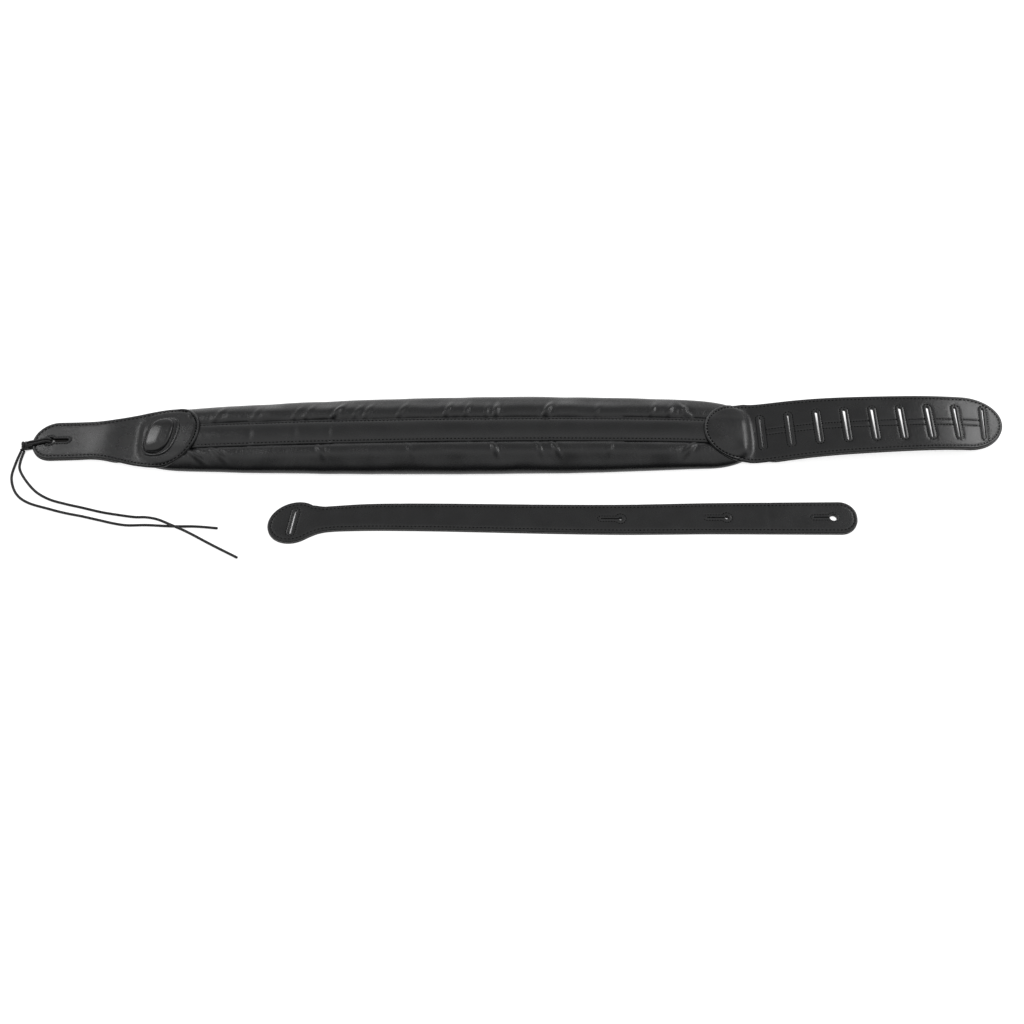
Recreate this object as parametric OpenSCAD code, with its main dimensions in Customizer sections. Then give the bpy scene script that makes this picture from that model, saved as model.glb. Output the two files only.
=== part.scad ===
// Padded shoulder strap for an instrument, laid out flat: the padded main strap with
// its head tab, tie lace and slotted ladder tab, and beside it the narrow adjusting
// tail that threads through the ladder. Millimetres, +Z up, origin under the middle.

/* [Main strap] */
// Length of the leather from the head tip to the ladder tip
main_length = 880; // [860:1:900]
// Half-width of the pad at its widest section
pad_half = 40.1; // [38:0.1:42]
// Height of the pad at its middle
pad_height = 17.5; // [14:0.5:20]
// Height of the pad at both of its ends
pad_end_height = 5.5; // [5:0.25:6.5]
// Width of the leather band along the middle of the pad
band_w = 27; // [24:0.5:30]

/* [Head tab] */
// Half-width of the narrow part of the head tab
head_half = 19.8; // [18:0.1:21]
// Half-width of the round end that covers the pad
head_round_r = 32; // [31:0.25:32.5]
// Length of the slit from the centre of the head hole
head_slit = 15; // [12:1:18]
// Radius of the hole for the tie lace
head_hole_r = 3.25; // [3:0.25:3.5]
// Width and length of the blank oval badge
badge_size = [30.6, 41.4]; // [20:0.2:44]

/* [Ladder tab] */
// Number of slots in the ladder
slot_count = 9; // [7:1:9]
// Distance between slots, seen from above
slot_pitch = 25; // [24:0.25:25]
// Width of a slot
slot_w = 4.5; // [4.5:0.1:5]
// Length of a slot across the tab
slot_len = 35; // [33:0.5:37]
// Height of the arch that the stiff tab keeps over the surface
ladder_rise = 11.6; // [8:0.2:14]

/* [Adjusting tail] */
// Half-width of the rounded slotted end
disc_r = 20.55; // [19:0.05:21]
// Length from the rounded end's slot to the far end
tail_length = 498; // [490:1:510]
// Half-width of the tail next to the rounded end
tail_half_start = 12.7; // [12:0.1:13.5]
// Half-width of the tail at its far end
tail_half_end = 16; // [15:0.1:16.5]
// Radius of the strap button holes
button_r = 3.25; // [3:0.25:3.5]
// Distances of the strap button holes from the rounded end's slot
button_at = [289.5, 383, 477]; // [280:0.5:480]
// Distance from the axis of the tail to the axis of the main strap
strap_spacing = 83.4; // [82:0.1:90]
// Angle of the tail to the main strap
tail_yaw = -0.75; // [-1:0.25:0]

/* [Leather and thread] */
// Thickness of a top leather
top_t = 1.4; // [1.2:0.1:1.5]
// Thickness of the stiff layer between two leathers
core_t = 1; // [0.8:0.1:1.2]
// Thickness of a backing leather
back_t = 1.2; // [1:0.1:1.3]
// Thickness of the thin leather round the pad
cover_t = 1.2; // [1:0.1:1.3]
// Distance of a seam from the edge beside it
seam_inset = 3; // [2.5:0.25:3.25]
// Width of a sewn seam
seam_w = 0.8; // [0.6:0.1:0.9]
// Height of a sewn seam
seam_h = 0.3; // [0.2:0.05:0.4]
// Diameter of the tie lace
lace_d = 2.2; // [2:0.1:2.3]

/* [Hidden] */

stack_t = top_t + core_t + back_t;
disc_drop = 4.35;
main_y = (strap_spacing + disc_drop + disc_r - pad_half) / 2;
tail_y = main_y - strap_spacing;
tail_x = -200;
head_tip_x = -main_length / 2;
ladder_tip_x = main_length / 2;

// The pad lies between the two flexing tabs.
pad_x0 = -344;
pad_x1 = 214;
pad_mid = -10;
pad_end_half = 15;
pad_end_round = 42;
fold_r = 9;
foam_gap = 0.2;
webbing_t = 1.5;
webbing_half = 11;
web_room = webbing_t + 0.3;

// The flexing tabs turn about lines across the strap, at the middle of their thickness.
head_hinge_x = -347;
head_hinge_z = 6.2;
head_tip_z = 4.3;
ladder_hinge_x = 217;
ladder_hinge_z = 2.8;
ladder_tip_z = 13;
ladder_flat = 1;
head_slope = atan((head_hinge_z - head_tip_z) / (head_hinge_x - head_tip_x));
head_hole_x = head_tip_x + 16;
head_flare_x0 = -388;
head_round_x = -316;
head_round_len = 30;
ladder_round_r = 31;
ladder_round_x = 202.7;
ladder_half = 32.1;
ladder_taper = 0.0205;
ladder_tip_len = 36;
first_slot_x = 222.4;
ladder_rail = 3;
slit_w = 0.8;
button_slit = 17.5;
disc_at = [2.35, -disc_drop];
disc_half_len = 22.6;
disc_lean = 0.18;
disc_slot_x = 1.5;
disc_slot_len = 26;
keyhole_room = 2.6;
slot_room = 2.1;
ladder_seam_inset = seam_inset - 0.4;
corner_r = 12.5;
cap_gap = 0.25;
cap_flat = 4;
badge_x = -323;
badge_pad_x = -324;
badge_pad_size = [21.6, 36];
badge_base_t = 1;
badge_pad_t = 2.4;
thread_r = 0.4;
leather = [0.05, 0.05, 0.055];
thread = [0.12, 0.12, 0.125];

// The lace lies on the surface from the knot to its two cut ends.
lace_r = lace_d / 2;
lace_over = lace_r + 2.3;
lace_a = [
  [-450.5, 25, 2.2], [-453.5, 13, lace_r], [-454.5, -3, lace_r], [-448, -19, lace_r],
  [-436, -29, lace_r], [-416, -36, lace_r], [-401, -40.5, lace_r], [-386, -44, lace_r],
  [-371, -48, lace_r], [-356, -52, lace_r], [-344, -54, lace_r], [-327, -54, lace_r],
  [-305, -55.5, lace_r], [-284, -56, lace_r], [-265, -58, lace_r]
];
lace_b = [
  [-447.5, 25, 2.6], [-449.5, 15, lace_r], [-448.5, 6, lace_r], [-441, -6, lace_r],
  [-430, -18, lace_r], [-417, -26, lace_r], [-402, -31, lace_r], [-387, -35, lace_r],
  [-369, -40, lace_r], [-354, -43, lace_r], [-339, -45.5, lace_r], [-329, -46, 1.4],
  [-318, -49, 2.4], [-305.5, -55.3, lace_over], [-290, -62.5, 2.2], [-268, -75, lace_r],
  [-245, -88, lace_r]
];
knot_at = [-447, 30, 4.2];
knot_r = 3.8;
loop_route = [
  [-445, 30.5, 6.4], [-441, 31.4, 7.6], [-436, 32.4, 7.7], [-428, 33.6, 7.9], [-424.6, 33.9, 6.6],
  [-424.2, 34.1, 4], [-426.5, 33.8, 1.6], [-433, 32.8, 1.2], [-440, 31.7, 1.2],
  [-444.5, 30.5, 2.2]
];

// How far along the pad a section lies, from 0 to 1.
function pad_t(x) = min(1, max(0, (x - pad_x0) / (pad_x1 - pad_x0)));
function pad_h(x) = pad_end_height
  + (pad_height - pad_end_height) * pow(sin(180 * pow(pad_t(x), 1.05)), 0.5);
function pad_lens(x) = pad_half * (x < pad_mid
  ? 1 - 0.26 * pow((x - pad_mid) / (pad_x0 - pad_mid), 2)
  : 1 - 0.17 * pow((x - pad_mid) / (pad_x1 - pad_mid), 2));
function pad_w(x) = let (d = max(0, min(pad_end_round, x - pad_x0, pad_x1 - x)) / pad_end_round)
  pad_end_half + (pad_lens(x) - pad_end_half) * sqrt(1 - pow(1 - d, 2));
function head_flare(x) = min(1, max(0, (x - head_flare_x0) / (head_round_x - head_flare_x0)));
function head_w(x) = x < head_round_x
  ? head_half + (head_round_r - head_half) * pow(head_flare(x), 2) * (3 - 2 * head_flare(x))
  : head_round_r * sqrt(max(0.0001, 1 - pow((x - head_round_x) / head_round_len, 2)));
function ladder_cap_w(x) = x > ladder_round_x
  ? ladder_round_r + (x - ladder_round_x) * 0.07
  : sqrt(max(0.01, pow(ladder_round_r, 2) - pow(x - ladder_round_x, 2)));
function oval_w(x, at, size) = size[1] / 2 * sqrt(max(0.0004, 1 - pow((x - at) / (size[0] / 2), 2)));

// Stations between two places, closer together towards both ends.
function stations(x0, x1, n) = [for (i = [0:n]) x0 + (x1 - x0) * (1 - cos(180 * i / n)) / 2];

// Height of the skin under a cap, which lies flat on the band and bridges the pad's edges,
// and the arch of the ladder.
function cap_z(x, y) = let (h = pad_h(x), u = min(0.9, max(0, abs(y) - cap_flat) / pad_w(x)))
  0.45 * h + 0.55 * h * pow(1 - pow(u, 2.5), 0.4);
function ladder_s(x) = min(1, max(0, (x - ladder_hinge_x) / (ladder_tip_x - ladder_hinge_x)));
function ladder_z(x) = ladder_hinge_z + (ladder_tip_z - ladder_hinge_z) * ladder_s(x)
  + ladder_rise * sin(180 * ladder_s(x)) + ladder_flat * sin(540 * ladder_s(x));

// Smooth curve through the points of a route, steps rings to each stretch.
function route_point(p, i) = p[min(len(p) - 1, max(0, i))];
function blend4(a, b, c, d, u) = 0.5 * ((2 * b) + (c - a) * u
  + (2 * a - 5 * b + 4 * c - d) * u * u + (3 * b - a - 3 * c + d) * u * u * u);
function smooth_route(p, steps) = concat([for (i = [0:len(p) - 2]) for (j = [0:steps - 1])
  blend4(route_point(p, i - 1), p[i], p[i + 1], route_point(p, i + 2), j / steps)], [p[len(p) - 1]]);
function unit(v) = v / norm(v);

// Walls between m rings of n points each, and the faces of a solid made of such rings.
function ring_walls(m, n, last) = [for (i = [0:last]) for (j = [0:n - 1])
  [i * n + j, ((i + 1) % m) * n + j, ((i + 1) % m) * n + (j + 1) % n, i * n + (j + 1) % n]];
function ring_faces(m, n, closed) = closed ? ring_walls(m, n, m - 1) : concat(
  ring_walls(m, n, m - 2), [[for (j = [0:n - 1]) j], [for (j = [n - 1:-1:0]) (m - 1) * n + j]]);

// Round thread or cord along a route. side is a direction that the route never takes.
module tube(route, r, sides, side, closed = false) {
  m = len(route);
  points = [for (i = [0:m - 1])
    let (
      back = closed ? route[(i + m - 1) % m] : route[max(0, i - 1)],
      ahead = closed ? route[(i + 1) % m] : route[min(m - 1, i + 1)],
      u = unit(cross(unit(ahead - back), side)),
      v = cross(unit(ahead - back), u)
    )
    for (j = [0:sides - 1]) route[i] + r * (cos(360 * j / sides) * u + sin(360 * j / sides) * v)];
  polyhedron(points, ring_faces(m, sides, closed));
}

// End of a sheet whose section runs along the underside and back along the top.
function sheet_end(first, across) = [for (j = [0:across - 1])
  [first + j, first + j + 1, first + 2 * across - j, first + 2 * across + 1 - j]];
function turned(faces) = [for (f = faces) reversed(f)];
function sheet_faces(m, across) = let (n = 2 * across + 2) concat(
  ring_walls(m, n, m - 2), sheet_end(0, across), turned(sheet_end((m - 1) * n, across)));

// Sheet of leather that lies over the pad: half-width and underside given as functions.
module draped_sheet(xs, half, under, t, across = 10) {
  points = [for (x = xs) each concat(
    [for (j = [0:across]) let (y = half(x) * (2 * j / across - 1)) [x, y, under(x, y)]],
    [for (j = [across:-1:0]) let (y = half(x) * (2 * j / across - 1)) [x, y, under(x, y) + t]])];
  polyhedron(points, sheet_faces(len(xs), across));
}

// Solid along the pad whose sections are given by a function of x.
module pad_loft(xs, section) {
  points = [for (x = xs) each [for (p = section(x)) [x, p[0], p[1]]]];
  polyhedron(points, ring_faces(len(xs), len(section(xs[0])), false));
}

// Rounded side of a pad section, from its fold under the pad up to the crown.
function roll_side(a, h, inset, top, floor_z) = let (zc = 0.45 * h) concat(
  [for (f = [90, 60, 30]) [a - fold_r + (fold_r - inset) * cos(f), zc - (zc - floor_z) * sin(f)]],
  [for (f = [0:15:90]) [(a - inset) * pow(cos(f), 0.8), zc + (h - zc - top) * pow(sin(f), 0.8)]]);
function mirrored(p) = [for (i = [len(p) - 1:-1:0]) [-p[i][0], p[i][1]]];
function without_last(p) = [for (i = [0:len(p) - 2]) p[i]];
function whole_roll(side) = concat(side, mirrored(without_last(side)));
function reversed(p) = [for (i = [len(p) - 1:-1:0]) p[i]];

pad_xs = stations(pad_x0, pad_x1, 30);
function cover_section(x) = concat(
  whole_roll(roll_side(pad_w(x), pad_h(x), 0, 0, 0)),
  reversed(whole_roll(roll_side(pad_w(x), pad_h(x), cover_t, cover_t, cover_t))));
function foam_section(x) = whole_roll(roll_side(pad_w(x), pad_h(x), cover_t + foam_gap,
  cover_t + web_room, back_t + 0.4));

module along_main() {
  translate([0, main_y, 0]) children();
}

module pad_backing() {
  edge = fold_r + 0.2;
  xs = stations(pad_x0, pad_x1, 30);
  outline = concat([for (x = xs) [x, pad_w(x) - edge]], [for (x = reversed(xs)) [x, edge - pad_w(x)]]);
  color(leather) along_main() linear_extrude(top_t) polygon(outline);
}

module pad_cover() {
  color(leather) along_main() pad_loft(pad_xs, function (x) cover_section(x));
}

module foam_core() {
  color([0.85, 0.82, 0.7]) along_main()
    pad_loft(stations(pad_x0 + 9, pad_x1 - 8, 24), function (x) foam_section(x));
}

module webbing_core() {
  color([0.2, 0.2, 0.2]) along_main()
    draped_sheet(stations(pad_x0 + 9, pad_x1 - 8, 24), function (x) webbing_half,
      function (x, y) pad_h(x) - cover_t - web_room + 0.1, webbing_t - 0.1, 1);
}

module centre_band() {
  color(leather) along_main()
    draped_sheet(stations(-300, 182, 24), function (x) band_w / 2,
      function (x, y) pad_h(x) + 0.05, top_t, 1);
}

module centre_band_seams() {
  xs = stations(-284, 170, 24);
  color(thread) along_main() for (side = [-1, 1])
    tube([for (x = xs) [x, side * (band_w / 2 - seam_inset), pad_h(x) + 0.1 + top_t + thread_r]],
      thread_r, 6, [0, 0, 1]);
}

module head_cap_leather() {
  color(leather) along_main()
    draped_sheet(stations(pad_x0, head_round_x + head_round_len - 0.1, 14), function (x) head_w(x),
      function (x, y) cap_z(x, y) + 0.05 + top_t + cap_gap, top_t);
}

module head_cap_seam() {
  r = head_round_r - seam_inset;
  r_long = head_round_len - seam_inset;
  lift = 2 * top_t + cap_gap + 0.25 + thread_r;
  color(thread) along_main()
    tube([for (a = [-80:10:80]) let (x = head_round_x + r_long * cos(a), y = r * sin(a))
      [x, y, cap_z(x, y) + lift]], thread_r, 6, [0, 0, 1]);
}

module ladder_cap_leather() {
  color(leather) along_main()
    draped_sheet(stations(ladder_round_x - ladder_round_r + 0.1, pad_x1, 14),
      function (x) ladder_cap_w(x),
      function (x, y) cap_z(x, y) + 0.05 + top_t + cap_gap, top_t);
}

module ladder_cap_seam() {
  r = ladder_round_r - seam_inset;
  lift = 2 * top_t + cap_gap + 0.25 + thread_r;
  color(thread) along_main()
    tube([for (a = [100:10:260]) let (x = ladder_round_x + r * cos(a), y = r * sin(a))
      [x, y, cap_z(x, y) + lift]], thread_r, 6, [0, 0, 1]);
}

// Top of the head cap, where the badge is sewn on.
function badge_seat(x, y) = cap_z(x, y) + 0.05 + 2 * top_t + cap_gap + 0.15;

module badge_base() {
  half = badge_size[0] / 2;
  color(leather) along_main()
    draped_sheet(stations(badge_x - half, badge_x + half, 12),
      function (x) oval_w(x, badge_x, badge_size), function (x, y) badge_seat(x, y), badge_base_t);
}

module badge_pad() {
  half = badge_pad_size[0] / 2;
  color([0.09, 0.09, 0.095]) along_main()
    draped_sheet(stations(badge_pad_x - half, badge_pad_x + half, 12),
      function (x) oval_w(x, badge_pad_x, badge_pad_size),
      function (x, y) badge_seat(x, y) + badge_base_t + 0.1, badge_pad_t);
}

module badge_seam() {
  size = badge_size - [4, 3];
  color(thread) along_main()
    tube([for (a = [0:12:348]) let (x = badge_x + 0.4 + size[0] / 2 * cos(a), y = size[1] / 2 * sin(a))
      [x, y, badge_seat(x, y) + badge_base_t + 0.15 + thread_r]], thread_r, 6, [0, 0, 1], true);
}

// Outline of the head tab, brought in from its edge by inset.
module head_outline(inset) {
  xs = [for (i = [0:8]) head_flare_x0 + (head_hinge_x - head_flare_x0) * i / 8];
  r = head_half - inset;
  polygon(concat(
    [[head_hinge_x + stack_t, inset - head_w(head_hinge_x)]],
    [for (x = reversed(xs)) [x, inset - head_w(x)]],
    [for (a = [270:-7.5:90]) [head_tip_x + head_half + r * cos(a), r * sin(a)]],
    [for (x = xs) [x, head_w(x) - inset]],
    [[head_hinge_x + stack_t, head_w(head_hinge_x) - inset]]));
}

// Keyhole: a round hole with a slit, made bigger all round by room.
module keyhole(slit, room, r) {
  circle(r = r + room, $fn = 48);
  translate([0, -slit_w / 2 - room]) square([slit, slit_w + 2 * room]);
  translate([slit, 0]) circle(r = slit_w / 2 + room, $fn = 24);
}

// One layer of the head tab. Its hinge end is rounded about the hinge line.
module head_layer(low, high) {
  along_main() translate([head_hinge_x, 0, head_hinge_z]) rotate([0, -head_slope, 0])
    intersection() {
      translate([-head_hinge_x, 0, low - stack_t / 2]) linear_extrude(high - low) difference() {
        head_outline(0);
        translate([head_hole_x, 0]) keyhole(head_slit, 0, head_hole_r);
      }
      union() {
        translate([-200, -60, -20]) cube([200, 120, 40]);
        rotate([90, 0, 0]) cylinder(r = stack_t / 2, h = 120, center = true, $fn = 48);
      }
    }
}

// Thin seam on top of the head tab, cut to the given outline.
module on_head_tab() {
  along_main() translate([head_hinge_x, 0, head_hinge_z]) rotate([0, -head_slope, 0])
    translate([-head_hinge_x, 0, stack_t / 2]) linear_extrude(seam_h) children();
}

module head_tab_top() {
  color(leather) head_layer(stack_t - top_t, stack_t);
}

module head_tab_core() {
  color([0.3, 0.25, 0.2]) head_layer(back_t, back_t + core_t);
}

module head_tab_backing() {
  color(leather) head_layer(0, back_t);
}

module head_tab_seam() {
  color(thread) on_head_tab() difference() {
    head_outline(seam_inset);
    head_outline(seam_inset + seam_w);
    translate([head_hinge_x - 1, -60]) square([60, 120]);
  }
}

module head_keyhole_seam() {
  color(thread) on_head_tab() translate([head_hole_x, 0]) difference() {
    keyhole(head_slit, keyhole_room, head_hole_r - 1);
    keyhole(head_slit, keyhole_room - seam_w, head_hole_r - 1);
    circle(r = head_hole_r, $fn = 48);
  }
}

// Outline of the ladder tab in plan, brought in from its edge by inset.
function ladder_w(x) = x < ladder_tip_x - ladder_tip_len
  ? ladder_half - (x - ladder_hinge_x) * ladder_taper
  : ladder_w(ladder_tip_x - ladder_tip_len - 0.01)
    * sqrt(max(0, 1 - pow((x - ladder_tip_x + ladder_tip_len) / ladder_tip_len, 2)));
module ladder_outline(inset) {
  straight = ladder_tip_x - ladder_tip_len;
  end_half = ladder_w(straight - 0.01) - inset;
  end_len = ladder_tip_len - inset;
  polygon(concat(
    [[ladder_hinge_x - stack_t, inset - ladder_half]],
    [for (a = [-90:7.5:90]) [straight + end_len * cos(a), end_half * sin(a)]],
    [[ladder_hinge_x - stack_t, ladder_half - inset]]));
}

// Band that follows the arch of the ladder between two heights over its middle layer.
module ladder_arch(low, high) {
  xs = [for (i = [0:26]) ladder_hinge_x + (ladder_tip_x + 1 - ladder_hinge_x) * i / 26];
  start = ladder_hinge_x - stack_t;
  rotate([90, 0, 0]) linear_extrude(120, center = true) polygon(concat(
    [[start, ladder_hinge_z + low]], [for (x = xs) [x, ladder_z(x) + low]],
    [for (x = reversed(xs)) [x, ladder_z(x) + high]], [[start, ladder_hinge_z + high]]));
}

module slot(room) {
  straight = slot_len - slot_w;
  translate([-slot_w / 2 - room, -straight / 2]) square([slot_w + 2 * room, straight]);
  for (side = [-1, 1]) translate([0, side * straight / 2]) circle(r = slot_w / 2 + room, $fn = 32);
}

module each_slot() {
  for (i = [0:slot_count - 1]) translate([first_slot_x + i * slot_pitch, 0]) children();
}

module ladder_layer(low, high) {
  along_main() intersection() {
    ladder_arch(low - stack_t / 2, high - stack_t / 2);
    linear_extrude(40) difference() {
      ladder_outline(0);
      each_slot() slot(0);
    }
    union() {
      translate([ladder_hinge_x, -60, 0]) cube([300, 120, 40]);
      translate([ladder_hinge_x, 0, ladder_hinge_z]) rotate([90, 0, 0])
        cylinder(r = stack_t / 2, h = 120, center = true, $fn = 48);
    }
  }
}

module on_ladder() {
  along_main() intersection() {
    ladder_arch(stack_t / 2, stack_t / 2 + seam_h);
    linear_extrude(40) children();
  }
}

module ladder_top() {
  color(leather) ladder_layer(stack_t - top_t, stack_t);
}

module ladder_core() {
  color([0.3, 0.25, 0.2]) ladder_layer(back_t, back_t + core_t);
}

module ladder_backing() {
  color(leather) ladder_layer(0, back_t);
}

module ladder_edge_seam() {
  color(thread) on_ladder() difference() {
    ladder_outline(ladder_seam_inset);
    ladder_outline(ladder_seam_inset + seam_w);
    translate([ladder_hinge_x - 50, -60]) square([51, 120]);
  }
}

module ladder_slot_seams() {
  rail_len = (slot_count - 1) * slot_pitch;
  color(thread) on_ladder() difference() {
    union() {
      each_slot() slot(slot_room);
      for (side = [-1, 1]) translate([first_slot_x, side * ladder_rail - seam_w / 2])
        square([rail_len, seam_w]);
    }
    each_slot() slot(slot_room - seam_w);
  }
}

// The adjusting tail lies flat, its frame on its middle line beside the slot.
module along_tail() {
  translate([tail_x, tail_y, 0]) rotate([0, 0, tail_yaw]) children();
}

// Outline of the tail, brought in from its edge by inset: an oval end that leans to one
// side, a neck and a strap that widens to rounded corners.
module tail_outline(inset) {
  far = tail_length - corner_r;
  a = tail_half_start - inset;
  b = tail_half_end - inset;
  corner = corner_r - inset;
  neck_low = [[9, -22.4], [18, -18], [26, -14.8], [38, -13.2], [60, -12.95]];
  neck_high = [[60, 12.95], [36, 11.7], [28, 11.3], [20, 12.5], [13, 14.9]];
  polygon([for (f = [0:4:356]) disc_at
    + [(disc_half_len - inset) * cos(f) + disc_lean * (disc_r - inset) * sin(f), (disc_r - inset) * sin(f)]]);
  polygon(concat([for (p = neck_low) p + [0, inset]], [for (p = neck_high) p - [0, inset]]));
  polygon([[50, -a - (b - a) * 50 / far], [far, -b], [far, b], [50, a + (b - a) * 50 / far]]);
  translate([far - 0.01, corner - b]) square([corner_r - inset, 2 * (b - corner)]);
  for (side = [-1, 1]) translate([far, side * (b - corner)]) circle(r = corner, $fn = 48);
}

module disc_slot(room) {
  straight = disc_slot_len - slot_w;
  translate([disc_slot_x, -disc_drop]) rotate([0, 0, -tail_yaw]) {
    translate([-slot_w / 2 - room, -straight / 2]) square([slot_w + 2 * room, straight]);
    for (side = [-1, 1]) translate([0, side * straight / 2]) circle(r = slot_w / 2 + room, $fn = 32);
  }
}

module tail_layer(low, high) {
  along_tail() translate([0, 0, low]) linear_extrude(high - low) difference() {
    tail_outline(0);
    disc_slot(0);
    for (x = button_at) translate([x, 0]) mirror([1, 0]) keyhole(button_slit, 0, button_r);
  }
}

module on_tail() {
  along_tail() translate([0, 0, stack_t]) linear_extrude(seam_h) children();
}

module tail_top() {
  color(leather) tail_layer(stack_t - top_t, stack_t);
}

module tail_core() {
  color([0.3, 0.25, 0.2]) tail_layer(back_t, back_t + core_t);
}

module tail_backing() {
  color(leather) tail_layer(0, back_t);
}

module tail_edge_seam() {
  color(thread) on_tail() difference() {
    tail_outline(seam_inset);
    tail_outline(seam_inset + seam_w);
  }
}

module tail_slot_seam() {
  color(thread) on_tail() difference() {
    disc_slot(keyhole_room);
    disc_slot(keyhole_room - seam_w);
  }
}

module tail_keyhole_seams() {
  color(thread) on_tail() for (x = button_at) translate([x, 0]) mirror([1, 0]) difference() {
    keyhole(button_slit, keyhole_room, button_r - 1);
    keyhole(button_slit, keyhole_room - seam_w, button_r - 1);
    circle(r = button_r, $fn = 48);
  }
}

module lace_tail_a() {
  color(leather) tube(smooth_route(lace_a, 2), lace_r, 8, [0, 0, 1]);
}

module lace_tail_b() {
  color(leather) tube(smooth_route(lace_b, 2), lace_r, 8, [0, 0, 1]);
}

module lace_loop() {
  color(leather) for (side = [-1, 1]) translate([0, side * (lace_r + 0.05), 0])
    tube(smooth_route(loop_route, 2), lace_r, 8, [0, 1, 0]);
}

module lace_knot() {
  color(leather) translate(knot_at) sphere(r = knot_r, $fn = 32);
}

pad_backing();
pad_cover();
foam_core();
webbing_core();
centre_band();
centre_band_seams();
head_cap_leather();
head_cap_seam();
ladder_cap_leather();
ladder_cap_seam();
badge_base();
badge_pad();
badge_seam();
head_tab_top();
head_tab_core();
head_tab_backing();
head_tab_seam();
head_keyhole_seam();
ladder_top();
ladder_core();
ladder_backing();
ladder_edge_seam();
ladder_slot_seams();
tail_top();
tail_core();
tail_backing();
tail_edge_seam();
tail_slot_seam();
tail_keyhole_seams();
lace_tail_a();
lace_tail_b();
lace_loop();
lace_knot();
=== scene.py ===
import math
from functools import partial

import bpy
import numpy as np
from mathutils import Matrix, Vector
from mathutils.geometry import delaunay_2d_cdt


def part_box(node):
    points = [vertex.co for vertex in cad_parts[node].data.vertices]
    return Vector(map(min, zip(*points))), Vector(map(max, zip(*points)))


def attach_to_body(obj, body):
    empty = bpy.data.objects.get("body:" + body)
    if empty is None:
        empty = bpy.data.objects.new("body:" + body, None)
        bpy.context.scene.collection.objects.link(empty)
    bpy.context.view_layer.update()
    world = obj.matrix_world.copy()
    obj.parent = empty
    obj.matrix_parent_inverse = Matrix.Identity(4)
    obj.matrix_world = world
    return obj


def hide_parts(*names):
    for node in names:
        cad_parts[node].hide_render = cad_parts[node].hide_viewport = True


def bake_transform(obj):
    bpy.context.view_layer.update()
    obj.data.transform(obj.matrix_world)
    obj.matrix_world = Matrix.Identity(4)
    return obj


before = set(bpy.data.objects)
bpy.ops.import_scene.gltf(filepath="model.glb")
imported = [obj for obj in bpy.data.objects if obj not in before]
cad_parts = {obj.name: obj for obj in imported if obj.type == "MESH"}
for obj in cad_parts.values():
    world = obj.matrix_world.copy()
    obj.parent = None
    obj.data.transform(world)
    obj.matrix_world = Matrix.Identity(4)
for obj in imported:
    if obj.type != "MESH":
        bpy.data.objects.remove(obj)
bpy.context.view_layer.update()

# ---- dimensions, in millimetres
MM = 0.001


def node_mm(node):
    """Lowest and highest corner of a CAD node, in millimetres."""
    low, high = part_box(node)
    return np.array(low) / MM, np.array(high) / MM


COVER_LOW, COVER_HIGH = node_mm("pad_cover")
MAIN_Y = (COVER_LOW[1] + COVER_HIGH[1]) / 2
PAD_X0, PAD_X1 = COVER_LOW[0], COVER_HIGH[0]
PAD_HALF = (COVER_HIGH[1] - COVER_LOW[1]) / 2
PAD_HEIGHT = COVER_HIGH[2]
PAD_END_HEIGHT = 5.5
PAD_END_HALF = 15.0
PAD_MID, PAD_END_ROUND = -10.0, 42.0
FOLD_R = 9.0
TOP_T, CORE_T, BACK_T = 1.4, 1.0, 1.2
STACK_T = TOP_T + CORE_T + BACK_T
BAND_HALF = 13.5
SEAM_INSET = 3.0
STITCH_SINK = 0.25
CAP_SINK = 0.3

HEAD_TIP_X = -440.0
HEAD_HINGE_X, HEAD_HINGE_Z, HEAD_TIP_Z = -347.0, 6.2, 4.3
HEAD_SLOPE = (HEAD_HINGE_Z - HEAD_TIP_Z) / (HEAD_HINGE_X - HEAD_TIP_X)
HEAD_HALF = 19.8
HEAD_FLARE_X0 = -388.0
HEAD_ROUND_X, HEAD_ROUND_R, HEAD_ROUND_LEN = -316.0, 32.0, 27.0
HEAD_LEAN = 0.19
HEAD_HOLE_X, HEAD_HOLE_R, HEAD_SLIT = -424.0, 3.25, 15.0
BADGE_X, BADGE_SIZE = -323.0, (30.6, 41.4)
BADGE_PAD_X, BADGE_PAD_SIZE = -324.4, (22.5, 36.5)

LADDER_HINGE_X, LADDER_HINGE_Z, LADDER_TIP_Z = 217.0, 2.8, 13.0
LADDER_TIP_X, LADDER_TIP_LEN = 440.0, 36.0
LADDER_HALF, LADDER_TAPER, LADDER_RISE, LADDER_FLAT = 32.1, 0.0205, 11.6, 1.0
LADDER_ROUND_X, LADDER_ROUND_R, LADDER_ROUND_LEN = 202.7, 31.0, 33.5
SLOT_X, SLOT_PITCH, SLOT_COUNT = 222.4, 25.0, 9
SLOT_W, SLOT_LEN = 4.5, 35.0
SLOT_MOUTHS = [0.9, 1.1, 2.1, 2.2, 2.2, 2.2, 2.0, 1.4, 0.9]
LADDER_RAIL = 3.0
HOLE_SEAM = 2.3
SLOT_SEAM = 1.7

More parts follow.
